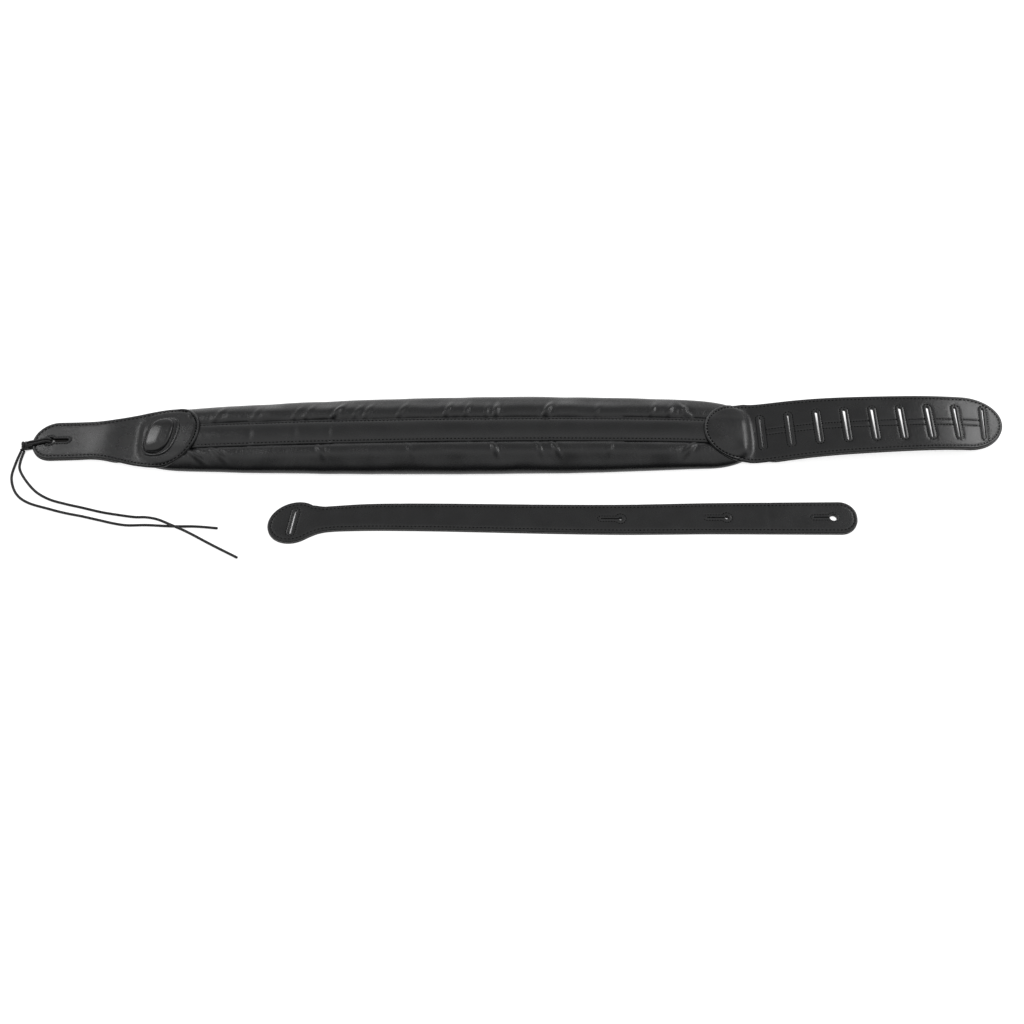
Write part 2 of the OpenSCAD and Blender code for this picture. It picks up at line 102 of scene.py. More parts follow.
TAIL_X, TAIL_Y = -200.0, -49.3
TAIL_YAW = math.radians(-0.75)
TAIL_LENGTH, TAIL_START, TAIL_END = 498.0, 12.7, 16.0
TAIL_CORNER = 15.0
DISC_AT, DISC_HALF_LEN, DISC_R, DISC_LEAN = (2.35, -4.35), 22.6, 20.55, 0.18
NECK_HIGH = [(20, 12.5), (28, 11.3), (36, 11.7), (60, 12.95), (90, 13.3)]
NECK_LOW = [(18, -18.0), (26, -14.8), (38, -13.2), (60, -12.95), (90, -13.3)]
TAIL_BEND = [(0, 0.0), (40, 0.6), (82, 1.5), (125, 1.3), (171, 0.5), (230, -0.6), (286, -1.1), (330, -0.6),
             (366, 0.0), (420, 0.2), (498, 0.3)]
BUTTON_AT, BUTTON_R, BUTTON_SLIT = (289.5, 383.0, 477.0), 3.25, 17.5
DISC_SLOT_AT, DISC_SLOT_LEN = (1.5, -4.35), 26.0
DISC_SLOT_LEAN = math.radians(8.5)
DISC_MOUTH = 1.3
BUTTON_MOUTHS = [0.45, 0.5, 1.0]
BUTTON_SLIT_HALF, HEAD_SLIT_HALF = 0.12, 1.6
MOUTH_SHORT = 0.7
TAIL_FOLDS = [(421.0, 0.16), (305.0, 0.14), (212.0, 0.12), (96.0, 0.12)]

LACE_D = 2.2
LACE_R = LACE_D / 2
LACE_DRAWN, HITCH_DRAWN = 1.1, 1.25
LACE_A = [
    (-450.5, 25, 2.2), (-453.5, 13, LACE_R), (-454.5, -3, LACE_R), (-448, -19, LACE_R),
    (-436, -29, LACE_R), (-416, -36, LACE_R), (-401, -40.5, LACE_R), (-386, -44, LACE_R),
    (-371, -48, LACE_R), (-356, -52, LACE_R), (-344, -54, LACE_R), (-327, -54, LACE_R),
    (-305, -55.5, LACE_R), (-284, -56, LACE_R), (-265, -58, LACE_R),
]
LACE_B = [
    (-447.5, 25, 2.6), (-449.5, 15, LACE_R), (-448.5, 6, LACE_R), (-441, -6, LACE_R),
    (-430, -18, LACE_R), (-417, -26, LACE_R), (-402, -31, LACE_R), (-387, -35, LACE_R),
    (-369, -40, LACE_R), (-354, -43, LACE_R), (-339, -45.5, LACE_R), (-329, -46, 1.4),
    (-318, -49, 2.4), (-305.5, -55.3, LACE_R + 2.3), (-290, -62.5, 2.2),
    (-268, -75, LACE_R), (-245, -88, LACE_R),
]


# ---- shape functions, in millimetres
def pad_t(x):
    """Place along the pad, from 0 to 1."""
    return np.clip((x - PAD_X0) / (PAD_X1 - PAD_X0), 0, 1)


def pad_h(x):
    """Height of the pad's crown."""
    wave = np.sin(np.pi * pad_t(x) ** 1.05).clip(0)
    u = ((x - PAD_X1 + 9) / 9).clip(0, 1)
    fall = 1 - 0.3 * u * u * (3 - 2 * u)
    return (PAD_END_HEIGHT + (PAD_HEIGHT - PAD_END_HEIGHT) * wave**0.5) * fall


def pad_w(x):
    """Half-width of the pad."""
    left = 1 - 0.26 * ((x - PAD_MID) / (PAD_X0 - PAD_MID)) ** 2
    right = 1 - 0.17 * ((x - PAD_MID) / (PAD_X1 - PAD_MID)) ** 2
    lens = PAD_HALF * np.where(x < PAD_MID, left, right)
    d = (np.minimum(x - PAD_X0, PAD_X1 - x) / PAD_END_ROUND).clip(0, 1)
    return PAD_END_HALF + (lens - PAD_END_HALF) * np.sqrt(1 - (1 - d) ** 2)


def pad_top(x, y):
    """Height of the pad's upper surface, and of the table beyond its ends."""
    a, h = pad_w(x), pad_h(x)
    zc = 0.45 * h
    side = (1 - (np.abs(y) / a).clip(0, 1) ** 2.5) ** 0.4
    ends = np.clip((x - PAD_X0 + 2) / 6, 0, 1) * np.clip((PAD_X1 + 2 - x) / 6, 0, 1)
    return (zc + (h - zc) * side) * np.sqrt(ends)


def smooth_max(a, b, k):
    """The greater of two, rounded off where they meet."""
    return (a + b + np.sqrt((a - b) ** 2 + k * k)) / 2


def head_w(x):
    """Half-width of the head tab and its cap."""
    u = ((x - HEAD_FLARE_X0) / (HEAD_ROUND_X - HEAD_FLARE_X0)).clip(0, 1)
    flare = HEAD_HALF + (HEAD_ROUND_R - HEAD_HALF) * u * u * (3 - 2 * u)
    end = HEAD_ROUND_R * np.sqrt((1 - ((x - HEAD_ROUND_X) / HEAD_ROUND_LEN) ** 2).clip(0.0001))
    return np.where(x < HEAD_ROUND_X, flare, end)


def head_lean(x, y):
    """How far the head tab leans along the strap at each side, most at its wide end."""
    return HEAD_LEAN * y * (0.6 + 0.4 * ((x + 385) / 45).clip(0, 1))


def head_mid(x):
    """Middle of the head tab's thickness, where it lies clear of the pad, with a slight bow."""
    bow = 1.2 * np.exp(-(((x + 374) / 17) ** 2)) - 0.3
    return HEAD_HINGE_Z + (x - HEAD_HINGE_X) * HEAD_SLOPE + bow


def ladder_s(x):
    """Place along the ladder tab, from 0 to 1, with a soft start."""
    run = smooth_max(x - LADDER_HINGE_X, 0, 9)
    return (run / (LADDER_TIP_X - LADDER_HINGE_X)).clip(0, 1)


def ladder_mid(x):
    """Middle of the ladder tab's thickness, along its arch."""
    s = ladder_s(x)
    arch = LADDER_RISE * np.sin(np.pi * s) + LADDER_FLAT * np.sin(3 * np.pi * s)
    return LADDER_HINGE_Z + (LADDER_TIP_Z - LADDER_HINGE_Z) * s + arch


def ladder_w(x):
    """Half-width of the ladder tab."""
    straight = LADDER_TIP_X - LADDER_TIP_LEN
    wide = LADDER_HALF - (x - LADDER_HINGE_X) * LADDER_TAPER
    return np.where(x < straight, wide, LADDER_HALF - (straight - LADDER_HINGE_X) * LADDER_TAPER)


def cap_seat(x, y, low):
    """Height of a cap's layer where it lies on the pad and on the end of the band."""
    lift = 0.9 * np.exp(-((y / (BAND_HALF + 2)) ** 6))
    return pad_top(x, y) + lift + low - BACK_T - CORE_T + CAP_SINK


def layered(middle, low):
    """Height of a layer, low above the underside of a stack whose middle is given along X."""

    def height(x, y):
        return middle(x) - STACK_T / 2 + low

    return height


def head_surface(low):
    """Height of a layer of the head tab, low above the underside of its stack."""

    def height(x, y):
        tab = head_mid(x) - STACK_T / 2 + low
        return smooth_max(tab, cap_seat(x + head_lean(x, y), y, low), 3.0)

    return height


def ladder_surface(low):
    """Height of a layer of the ladder tab, with the lump at its cap's near corner."""

    def height(x, y):
        tab = ladder_mid(x) - STACK_T / 2 + low
        lump = 1.5 * np.exp(-(((x - 205) / 6) ** 2) - ((y + 20) / 7) ** 2)
        return smooth_max(tab, cap_seat(x, y, low), 3.2) + lump

    return height


def level(z):
    """The same height everywhere."""

    def height(x, y):
        return np.full_like(x, z)

    return height


def raised(surface, by):
    """The same surface, higher by so many millimetres."""

    def height(x, y):
        return surface(x, y) + by

    return height


# ---- outlines: lists of (x, y)
def arc(cx, cy, rx, ry, a0, a1, step):
    """Points on part of an ellipse, from angle a0 to a1 in degrees."""
    n = max(2, int(abs(math.radians(a1 - a0)) * max(rx, ry) / step))
    angles = [math.radians(a0 + (a1 - a0) * i / n) for i in range(n + 1)]
    return [(cx + rx * math.cos(a), cy + ry * math.sin(a)) for a in angles]


def both_sides(upper):
    """A loop from its upper half, given from left to right on the axis."""
    lower = [(x, -y) for x, y in reversed(upper)]
    return upper + [p for p in lower if p[1] < -1e-6]


def resample(points, step, closed, count=None):
    """The same line with points about step apart, or with count points."""
    p = np.array(points, float)
    if closed:
        p = np.vstack([p, p[:1]])
    seg = np.linalg.norm(np.diff(p, axis=0), axis=1)
    s = np.concatenate([[0], np.cumsum(seg)])
    if count is None:
        count = max(2, int(round(s[-1] / step))) + 1
    at = np.linspace(0, s[-1], count)
    out = np.stack([np.interp(at, s, p[:, k]) for k in range(p.shape[1])], axis=1)
    return out[:-1] if closed else out


def head_outline():
    tip = HEAD_TIP_X + HEAD_HALF
    left = arc(tip, 0, HEAD_HALF, HEAD_HALF, 180, 90, 1)
    flare = [(x, float(head_w(np.float64(x)))) for x in np.linspace(HEAD_FLARE_X0, HEAD_ROUND_X, 40)]
    right = arc(HEAD_ROUND_X, 0, HEAD_ROUND_LEN, HEAD_ROUND_R, 88, 0, 1)
    return both_sides(left + flare + right)


def ladder_outline():
    straight = LADDER_TIP_X - LADDER_TIP_LEN
    left = arc(LADDER_ROUND_X, 0, LADDER_ROUND_LEN, LADDER_ROUND_R, 180, 92, 1)
    edge = [(x, float(ladder_w(np.float64(x)))) for x in np.linspace(LADDER_HINGE_X - 8, straight, 60)]
    end = arc(straight, 0, LADDER_TIP_LEN, edge[-1][1], 90, 0, 1)
    return both_sides(left + edge + end[1:])


def stadium(cx, half_len, r, step=0.75):
    """Slot outline: two half-circles of radius r, half_len from the middle to the end."""
    s = half_len - r
    loop = arc(0, s, r, r, 0, 180, step) + arc(0, -s, r, r, 180, 360, step)
    return resample([(cx + x, y) for x, y in loop], step, True)


def keyhole(cx, slit, room, r, side, slit_half=0.4):
    """Round hole of radius r at cx with a slit to one side, bigger all round by room."""
    h = slit_half + room
    big = r + room
    a = math.degrees(math.asin(min(1, h / big)))
    loop = arc(0, 0, big, big, a, 360 - a, 0.7) + arc(slit, 0, h, h, -90, 90, 0.5)
    return resample([(cx + side * x, y) for x, y in loop], 0.6, True)


def tail_outline():
    """The oval end that leans, the neck, the widening strap and its rounded corners."""
    angles = np.radians(np.arange(56, 304, 3))
    oval = [(DISC_AT[0] + DISC_HALF_LEN * math.cos(f) + DISC_LEAN * DISC_R * math.sin(f),
             DISC_AT[1] + DISC_R * math.sin(f)) for f in angles]
    far = TAIL_LENGTH - TAIL_CORNER
    straight = np.linspace(110, far - 2, 60)
    half = TAIL_START + (TAIL_END - TAIL_START) * straight / far
    inner = TAIL_END - TAIL_CORNER
    low_corner = arc(far, -inner, TAIL_CORNER, TAIL_CORNER, -90, 0, 2)
    high_corner = arc(far, inner, TAIL_CORNER, TAIL_CORNER, 90, 0, 2)
    low = NECK_LOW + [(x, -h) for x, h in zip(straight, half)] + low_corner
    high = NECK_HIGH + [(x, h) for x, h in zip(straight, half)] + high_corner
    loop = smooth_route(oval + low + high[::-1] + oval[:1], 1.0)
    return [tuple(p) for p in loop[:-1]]


# ---- flat leather with edges and holes
def inside(points, loop):
    """Which points lie inside a closed loop."""
    x, y = points[:, 0][:, None], points[:, 1][:, None]
    a, b = loop, np.roll(loop, -1, axis=0)
    ya, yb = a[:, 1][None], b[:, 1][None]
    with np.errstate(divide="ignore", invalid="ignore"):
        cross = a[:, 0][None] + (y - ya) * (b[:, 0] - a[:, 0])[None] / (yb - ya)
    hits = ((ya > y) != (yb > y)) & (x < cross)
    return hits.sum(axis=1) % 2 == 1


def distance(points, line, closed=True):
    """Distance of each point from a line of points."""
    a = line if closed else line[:-1]
    b = np.roll(line, -1, axis=0) if closed else line[1:]
    out = np.full(len(points), 1e9)
    d = b - a
    dd = (d**2).sum(axis=1).clip(1e-12)
    for start in range(0, len(points), 2000):
        p = points[start:start + 2000]
        t = (((p[:, None] - a[None]) * d[None]).sum(axis=2) / dd[None]).clip(0, 1)
        near = a[None] + t[..., None] * d[None]
        out[start:start + 2000] = np.sqrt(((p[:, None] - near) ** 2).sum(axis=2)).min(axis=1)
    return out


def offset_ring(loop, d, outward):
    """Points at distance d from a loop, on its inner or outer side."""
    ahead, back = np.roll(loop, -1, axis=0), np.roll(loop, 1, axis=0)
    t = ahead - back
    t /= np.linalg.norm(t, axis=1)[:, None].clip(1e-9)
    n = np.stack([t[:, 1], -t[:, 0]], axis=1)
    area = 0.5 * np.sum(loop[:, 0] * ahead[:, 1] - ahead[:, 0] * loop[:, 1])
    if area < 0:
        n = -n
    return loop + n * (d if outward else -d)


RINGS = (0.12, 0.35, 0.7, 1.2, 1.8, 2.4, 3.0, 3.6, 4.4)
UNDER_RINGS = (0.3, 1.0, 2.2)


def flat_net(outer, holes, spacing, rings=RINGS, rails=()):
    """Points, triangles, loops and edge distances of a flat shape with holes."""
    loops = [np.array(outer, float)] + [np.array(h, float) for h in holes]
    ring_points = []
    for i, loop in enumerate(loops):
        for d in rings:
            ring_points.append((d, offset_ring(loop, d, i > 0)))
    kept = []
    for d, ring in ring_points:
        ok = inside(ring, loops[0])
        for h in loops[1:]:
            ok &= ~inside(ring, h)
        ring = ring[ok]
        if not len(ring):
            continue
        near = np.min([distance(ring, loop) for loop in loops], axis=0)
        kept.append(ring[near > d * 0.97])
    low, high = loops[0].min(axis=0), loops[0].max(axis=0)
    gx, gy = np.meshgrid(np.arange(low[0], high[0], spacing), np.arange(low[1], high[1], spacing))
    gx[1::2] += spacing / 2
    grid = np.stack([gx.ravel(), gy.ravel()], axis=1)
    grid = grid[inside(grid, loops[0])]
    for h in loops[1:]:
        grid = grid[~inside(grid, h)]
    near = np.min([distance(grid, loop) for loop in loops], axis=0)
    grid = grid[near > rings[-1] + 0.5 * spacing]
    for rail in rails:
        line = resample(rail, 1.2, False)
        t = np.gradient(line, axis=0)
        n = np.stack([-t[:, 1], t[:, 0]], axis=1) / np.linalg.norm(t, axis=1)[:, None]
        grid = grid[distance(grid, line, False) > 1.5]
        for d in (-0.9, -0.4, 0, 0.4, 0.9):
            extra = line + n * d
            far = np.min([distance(extra, loop) for loop in loops], axis=0) > rings[-1] - 0.6
            kept.append(extra[far])
    points = np.vstack(loops + kept + [grid])
    edges, at = [], 0
    for loop in loops:
        n = len(loop)
        edges += [(at + i, at + (i + 1) % n) for i in range(n)]
        at += n
    verts, _, faces, came, _, _ = delaunay_2d_cdt([Vector(p) for p in points], edges, [], 0, 1e-4)
    p = np.array([tuple(v) for v in verts])
    tri = np.array([f for f in faces if len(f) == 3])
    mid = p[tri].mean(axis=1)
    ok = inside(mid, loops[0])
    for h in loops[1:]:
        ok &= ~inside(mid, h)
    tri = tri[ok]
    ab, ac = p[tri[:, 1]] - p[tri[:, 0]], p[tri[:, 2]] - p[tri[:, 0]]
    turn = ab[:, 0] * ac[:, 1] - ab[:, 1] * ac[:, 0]
    tri[turn < 0] = tri[turn < 0][:, ::-1]
    tri = tri[np.abs(turn) > 1e-7]
    where = {}
    for new, olds in enumerate(came):
        for old in olds:
            where[old] = new
    index_loops, at = [], 0
    for loop in loops:
        index_loops.append([where[at + i] for i in range(len(loop))])
        at += len(loop)
    edge_d = np.min([distance(p, loop) for loop in loops], axis=0)
    return p, tri, index_loops, loops, edge_d


def layer_mesh(name, net, bottom, top, relief=None, place=None, wall_rows=3, bulge=0.12):
    """A sheet of leather: net drawn twice, at bottom and top heights, joined round its edges."""
    p, tri, index_loops, loops, edge_d = net
    used = np.unique(tri)
    remap = -np.ones(len(p), int)
    remap[used] = np.arange(len(used))
    q = p[used]
    n = len(used)
    x, y = q[:, 0], q[:, 1]
    z_low, z_high = bottom(x, y), top(x, y)
    if relief is not None:
        z_high = z_high + relief(q, edge_d[used])
    verts = [np.column_stack([q, z_high]), np.column_stack([q, z_low])]
    faces = [tuple(remap[t]) for t in tri] + [tuple(remap[t][::-1] + n) for t in tri]
    at = 2 * n
    for k, loop in enumerate(index_loops):
        ids = [remap[i] for i in loop if remap[i] >= 0]
        line = p[[i for i in loop if remap[i] >= 0]]
        m = len(ids)
        rows = [ids]
        for r in range(1, wall_rows + 1):
            u = r / (wall_rows + 1)
            side = offset_ring(line, bulge * math.sin(math.pi * u), k == 0)
            z = z_high[ids] * (1 - u) + z_low[ids] * u
            verts.append(np.column_stack([side, z]))
            rows.append(list(range(at, at + m)))
            at += m
        rows.append([i + n for i in ids])
        area = np.sum(line[:, 0] * np.roll(line[:, 1], -1) - np.roll(line[:, 0], -1) * line[:, 1])
        flip = area < 0 if k == 0 else area > 0
        for a, b in zip(rows, rows[1:]):
            for i in range(m):
                j = (i + 1) % m
                quad = (a[i], b[i], b[j], a[j])
                faces.append(quad[::-1] if flip else quad)
    return make_mesh(name, np.vstack(verts), faces, place)


def main_place(v):
    return v + np.array([0, MAIN_Y, 0])


def ladder_place(v):
    lean = 0.14 * v[:, 1] * ((v[:, 0] - 392) / 48).clip(0, 1)
    return v + np.column_stack([lean, np.full(len(v), MAIN_Y), np.zeros(len(v))])


def head_place(v):
    return v + np.column_stack([head_lean(v[:, 0], v[:, 1]), np.full(len(v), MAIN_Y), np.zeros(len(v))])


def tail_bend(x):
    """How far the tail's middle line wanders to one side."""
    route = smooth_route(TAIL_BEND, 4.0)
    return np.interp(x, route[:, 0], route[:, 1])


def tail_place(v):
    c, s = math.cos(TAIL_YAW), math.sin(TAIL_YAW)
    x, y = v[:, 0], v[:, 1] + tail_bend(v[:, 0])
    return np.column_stack([TAIL_X + x * c - y * s, TAIL_Y + x * s + y * c, v[:, 2]])


def make_mesh(name, verts, faces, place=None):
    """An object from points in millimetres."""
    v = place(verts) if place else verts
    mesh = bpy.data.meshes.new(name)
    mesh.from_pydata((v * MM).tolist(), [], [tuple(int(i) for i in f) for f in faces])
    mesh.validate()
    mesh.shade_smooth()
    obj = bpy.data.objects.new(name, mesh)
    bpy.context.scene.collection.objects.link(obj)
    return obj


def edge_relief(d, round_r):
    """Drop of a cut and rubbed edge at distance d from it."""
    u = (1 - d / round_r).clip(0, 1)
    return -round_r * 0.55 * (1 - np.sqrt(1 - u**2))


def stitched_relief(net, rings=(), rails=(), depth=0.2, lip=None):
    """Rounded edges, a raised border, and a groove where each row of stitches pulls the leather down."""
    outer = net[3][0]
    holes = net[3][1:]
    lines = [(np.array(r, float), True) for r in rings] + [(np.array(r, float), False) for r in rails]

    def relief(p, d):
        z = edge_relief(d, 0.9)
        outer_d = distance(p, outer)
        z += 0.15 * np.exp(-(((outer_d - 1.5) / 0.9) ** 2))
        z -= 0.22 * np.exp(-(((outer_d - SEAM_INSET) / 0.7) ** 2))
        if holes:
            hole_d = np.min([distance(p, h) for h in holes], axis=0)
            z += depth * np.exp(-(((hole_d - 1.2) / 0.8) ** 2))
        if lines:
            line_d = np.min([distance(p, line, closed) for line, closed in lines], axis=0)
            z -= depth * np.exp(-((line_d / 0.7) ** 2))
        return z if lip is None else z + lip(p, d)

    return relief


# ---- stitches and cords
def sweep(centres, radii, sides):
    """Vertices and faces of a closed tube through centres, with a radius at each."""
    t = np.gradient(centres, axis=0)
    t /= np.linalg.norm(t, axis=1)[:, None]
    u = np.cross(t[0], [0.3, 0.2, 1.0])
    angle = 2 * np.pi * np.arange(sides)[:, None] / sides
    rings = []
    for centre, along, radius in zip(centres, t, radii):
        u = u - along * np.dot(u, along)
        u /= np.linalg.norm(u)
        rings.append(centre + radius * (np.cos(angle) * u + np.sin(angle) * np.cross(along, u)))
    n = len(rings)
    faces = []
    for a in range(0, (n - 1) * sides, sides):
        for j in range(sides):
            k = (j + 1) % sides
            faces.append((a + j, a + k, a + sides + k, a + sides + j))
    faces.append(tuple(range(sides))[::-1])
    faces.append(tuple((n - 1) * sides + j for j in range(sides)))
    return np.vstack(rings), faces


def tube(line, radius, sides=12):
    """Vertices and faces of a tube with rounded ends along a line of points."""
    first, last = line[0] - line[1], line[-1] - line[-2]
    first, last = first / np.linalg.norm(first), last / np.linalg.norm(last)
    centres = np.vstack([line[0] + first * radius * 0.55, line[0] + first * radius * 0.35, line,
                         line[-1] + last * radius * 0.35, line[-1] + last * radius * 0.55])
    radii = [radius * 0.45, radius * 0.85] + [radius] * len(line) + [radius * 0.85, radius * 0.45]
    return sweep(centres, radii, sides)


def seam_line(outline):
    """The line of the stitches along the edge of an outline."""
    return resample(offset_ring(resample(outline, 0.8, True), SEAM_INSET, False), 0.8, True)


def stitch_rows(name, paths, height, place, closed=True, pitch=3.4, length=2.1, r=0.5, body=None):
    """Rows of separate stitches along paths on a surface."""
    along = np.array([-0.5, -0.44, -0.25, 0, 0.25, 0.44, 0.5]) * length
    dip = np.array([1.3, 0.75, 0.15, 0, 0.15, 0.75, 1.3]) * -r
    radii = r * np.array([0.5, 0.85, 1, 1, 1, 0.85, 0.5])
    one, one_faces = sweep(np.column_stack([along, np.zeros(7), dip]), radii, 6)
    verts, faces, at = [], [], 0
    for path in paths:
        flat = resample(np.array(path, float), pitch, closed)
        line = np.column_stack([flat, height(flat[:, 0], flat[:, 1])])
        if closed:
            t = np.roll(line, -1, axis=0) - np.roll(line, 1, axis=0)
        else:
            t = np.gradient(line, axis=0)
        t /= np.linalg.norm(t, axis=1)[:, None]
        side = np.cross([0, 0, 1.0], t)
        side /= np.linalg.norm(side, axis=1)[:, None]
        up = np.cross(t, side)
        block = (line[:, None] + one[None, :, :1] * t[:, None] + one[None, :, 1:2] * side[:, None]
                 + one[None, :, 2:] * up[:, None])
        verts.append(block.reshape(-1, 3))
        for _ in line:
            faces += [tuple(i + at for i in face) for face in one_faces]
            at += len(one)
    return dress(make_mesh(name, np.vstack(verts), faces, place), MAT_THREAD_PAINTED_SHADE, "thread", body)


def smooth_route(points, step=1.0):
    """A smooth curve through the points, as points step apart."""
    p = np.array(points, float)
    ext = np.vstack([2 * p[0] - p[1], p, 2 * p[-1] - p[-2]])
    out = []
    for a, b, c, d in zip(ext, ext[1:], ext[2:], ext[3:]):
        for u in np.linspace(0, 1, 16, endpoint=False):
            out.append(0.5 * (2 * b + (c - a) * u + (2 * a - 5 * b + 4 * c - d) * u**2
                              + (3 * b - a - 3 * c + d) * u**3))
    out.append(p[-1])
    return resample(np.array(out), step, False)


def joined(parts):
    """One set of vertices and faces from several."""
    verts, faces, at = [], [], 0
    for v, f in parts:
        verts.append(v)
        faces += [tuple(i + at for i in face) for face in f]
        at += len(v)
    return np.vstack(verts), faces


# ---- materials
class Nodes:
    """Short names for building one material's nodes."""

    def __init__(self, name):
        self.mat = bpy.data.materials.new(name)
        self.mat.use_nodes = True
        self.tree = self.mat.node_tree
        self.bsdf = self.tree.nodes["Principled BSDF"]
        self.coords = self.tree.nodes.new("ShaderNodeTexCoord").outputs["Object"]

    def add(self, kind, **values):
        node = self.tree.nodes.new(kind)
        for key, value in values.items():
            if key in node.inputs:
                if isinstance(value, bpy.types.NodeSocket):
                    self.tree.links.new(value, node.inputs[key])
                else:
                    node.inputs[key].default_value = value
            else:
                setattr(node, key, value)
        return node

    def noise(self, scale, detail=3, roughness=0.5, coords=None):
        where = coords or self.coords
        node = self.add("ShaderNodeTexNoise", Vector=where, Scale=scale, Detail=detail, Roughness=roughness)
        return node.outputs["Fac"]

    def stretch(self, scale):
        return self.add("ShaderNodeMapping", Vector=self.coords, Scale=scale).outputs["Vector"]

    def cells(self, scale):
        return self.add("ShaderNodeTexVoronoi", Vector=self.coords, Scale=scale).outputs["Distance"]

    def ramp(self, fac, low, high, a, b):
        """Map fac from low..high to a..b."""
        limits = {"From Min": low, "From Max": high, "To Min": a, "To Max": b}
        return self.add("ShaderNodeMapRange", Value=fac, **limits).outputs["Result"]

    def colours(self, fac, dark, light):
        node = self.tree.nodes.new("ShaderNodeValToRGB")
        node.color_ramp.elements[0].color = (*dark, 1)
        node.color_ramp.elements[1].color = (*light, 1)
        node.color_ramp.elements[0].position = 0.3
        node.color_ramp.elements[1].position = 0.7
        self.tree.links.new(fac, node.inputs["Fac"])
        self.tree.links.new(node.outputs["Color"], self.bsdf.inputs["Base Color"])

    def rough(self, value):
        self.tree.links.new(value, self.bsdf.inputs["Roughness"])

    def bump(self, height, distance, strength=1.0, below=None):
        node = self.add("ShaderNodeBump", Strength=strength, Distance=distance, Height=height)
        if below is not None:
            self.tree.links.new(below, node.inputs["Normal"])
        return node.outputs["Normal"]

    def normal(self, value):
        self.tree.links.new(value, self.bsdf.inputs["Normal"])


def leather(name, dark, light, rough, grain=0.00006, pore=1500, wrinkle=0.0):
    """Black leather with pores, a slight unevenness and, if asked, fine creases across X."""
    n = Nodes(name)
    n.colours(n.noise(60, 4), dark, light)
    n.rough(n.ramp(n.noise(35, 4), 0.3, 0.7, rough[0], rough[1]))
    n.bsdf.inputs["Specular IOR Level"].default_value = 0.5
    normal = n.bump(n.cells(pore), grain)
    normal = n.bump(n.noise(pore * 2.2, 2), grain * 0.7, below=normal)
    if wrinkle:
        fine = n.noise(1.0, 5, 0.55, coords=n.stretch((420, 70, 70)))
        normal = n.bump(fine, wrinkle, below=normal)
    n.normal(normal)
    return n.mat


def cloth(name, dark, light, rough, scale, depth):
    """Fibrous or woven surface."""
    n = Nodes(name)
    n.colours(n.noise(scale, 3), dark, light)
    n.rough(n.ramp(n.noise(scale / 4, 3), 0.3, 0.7, rough[0], rough[1]))
    n.bsdf.inputs["Sheen Weight"].default_value = 0.15
    n.normal(n.bump(n.noise(scale * 2, 4), depth))
    return n.mat


def twisted(name, dark, light, rough, turns, depth, shine=0.5):
    """Thread or lace: fine strands wound round."""
    n = Nodes(name)
    n.bsdf.inputs["Specular IOR Level"].default_value = shine
    n.colours(n.noise(300, 3), dark, light)
    n.rough(n.ramp(n.noise(150, 3), 0.3, 0.7, rough[0], rough[1]))
    wave = n.add("ShaderNodeTexWave", Vector=n.coords, Scale=turns, Distortion=1.5, Detail=1.0)
    wave.bands_direction = "DIAGONAL"
    n.normal(n.bump(wave.outputs["Fac"], depth))
    return n.mat


MAT_TAB = leather("tab_leather", (0.006, 0.0062, 0.0068), (0.0118, 0.0121, 0.0129), (0.2, 0.32), 0.00005)
MAT_PAD = leather("pad_leather", (0.0055, 0.0057, 0.0063), (0.0105, 0.0108, 0.0116), (0.2, 0.31), 0.00006, 1700,
                  0.0003)
MAT_BADGE = leather("badge_leather", (0.0065, 0.0067, 0.0072), (0.0105, 0.0108, 0.0115), (0.16, 0.26), 0.00003)
MAT_BACK = cloth("backing_suede", (0.010, 0.010, 0.0105), (0.026, 0.025, 0.025), (0.7, 0.9), 900, 0.0001)
MAT_CORE = cloth("core_board", (0.012, 0.011, 0.010), (0.03, 0.027, 0.024), (0.6, 0.85), 1200, 0.00006)
MAT_FOAM = cloth("foam", (0.45, 0.43, 0.36), (0.72, 0.70, 0.62), (0.85, 0.98), 700, 0.0004)
MAT_WEB = cloth("webbing", (0.02, 0.02, 0.02), (0.05, 0.05, 0.05), (0.6, 0.8), 1100, 0.0002)
# The thread's very dark colour and low shine are partly its own black and partly painted shade for the shadowed
# stitch holes.
MAT_THREAD_PAINTED_SHADE = twisted("thread", (0.003, 0.003, 0.003), (0.007, 0.007, 0.008), (0.5, 0.7), 1500, 0.00005, 0.08)
MAT_LACE = twisted("lace", (0.008, 0.008, 0.009), (0.018, 0.018, 0.019), (0.42, 0.6), 700, 0.00005)


def paint(obj, mat):
    obj.data.materials.clear()
    obj.data.materials.append(mat)


def dress(obj, mat, slot, body=None):
    """Give a new piece its material and, if it bends nowhere, its body. The slot argument is not used."""
    paint(obj, mat)
    if body:
        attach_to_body(obj, body)
    return obj


# ---- camera
CAMERA_ELEVATION = math.radians(58)
CAMERA_TURN = math.radians(0.75)
CAMERA_DISTANCE = 1.2586
CAMERA_TARGET = Vector((-0.0059, -0.0439, 0))


def add_camera():
    c, s = math.cos(CAMERA_ELEVATION), math.sin(CAMERA_ELEVATION)
    back = Vector((-c * math.sin(CAMERA_TURN), -c * math.cos(CAMERA_TURN), s))
    right = Vector((math.cos(CAMERA_TURN), -math.sin(CAMERA_TURN), 0))
    up = back.cross(right)
    data = bpy.data.cameras.new("camera")
    data.lens = 50
    data.sensor_width = 36
    data.clip_start = 0.01
    camera = bpy.data.objects.new("camera", data)
    camera.matrix_world = Matrix.Translation(CAMERA_TARGET + back * CAMERA_DISTANCE) @ Matrix(
        (right, up, back)).transposed().to_4x4()
    bpy.context.scene.collection.objects.link(camera)
    bpy.context.scene.camera = camera


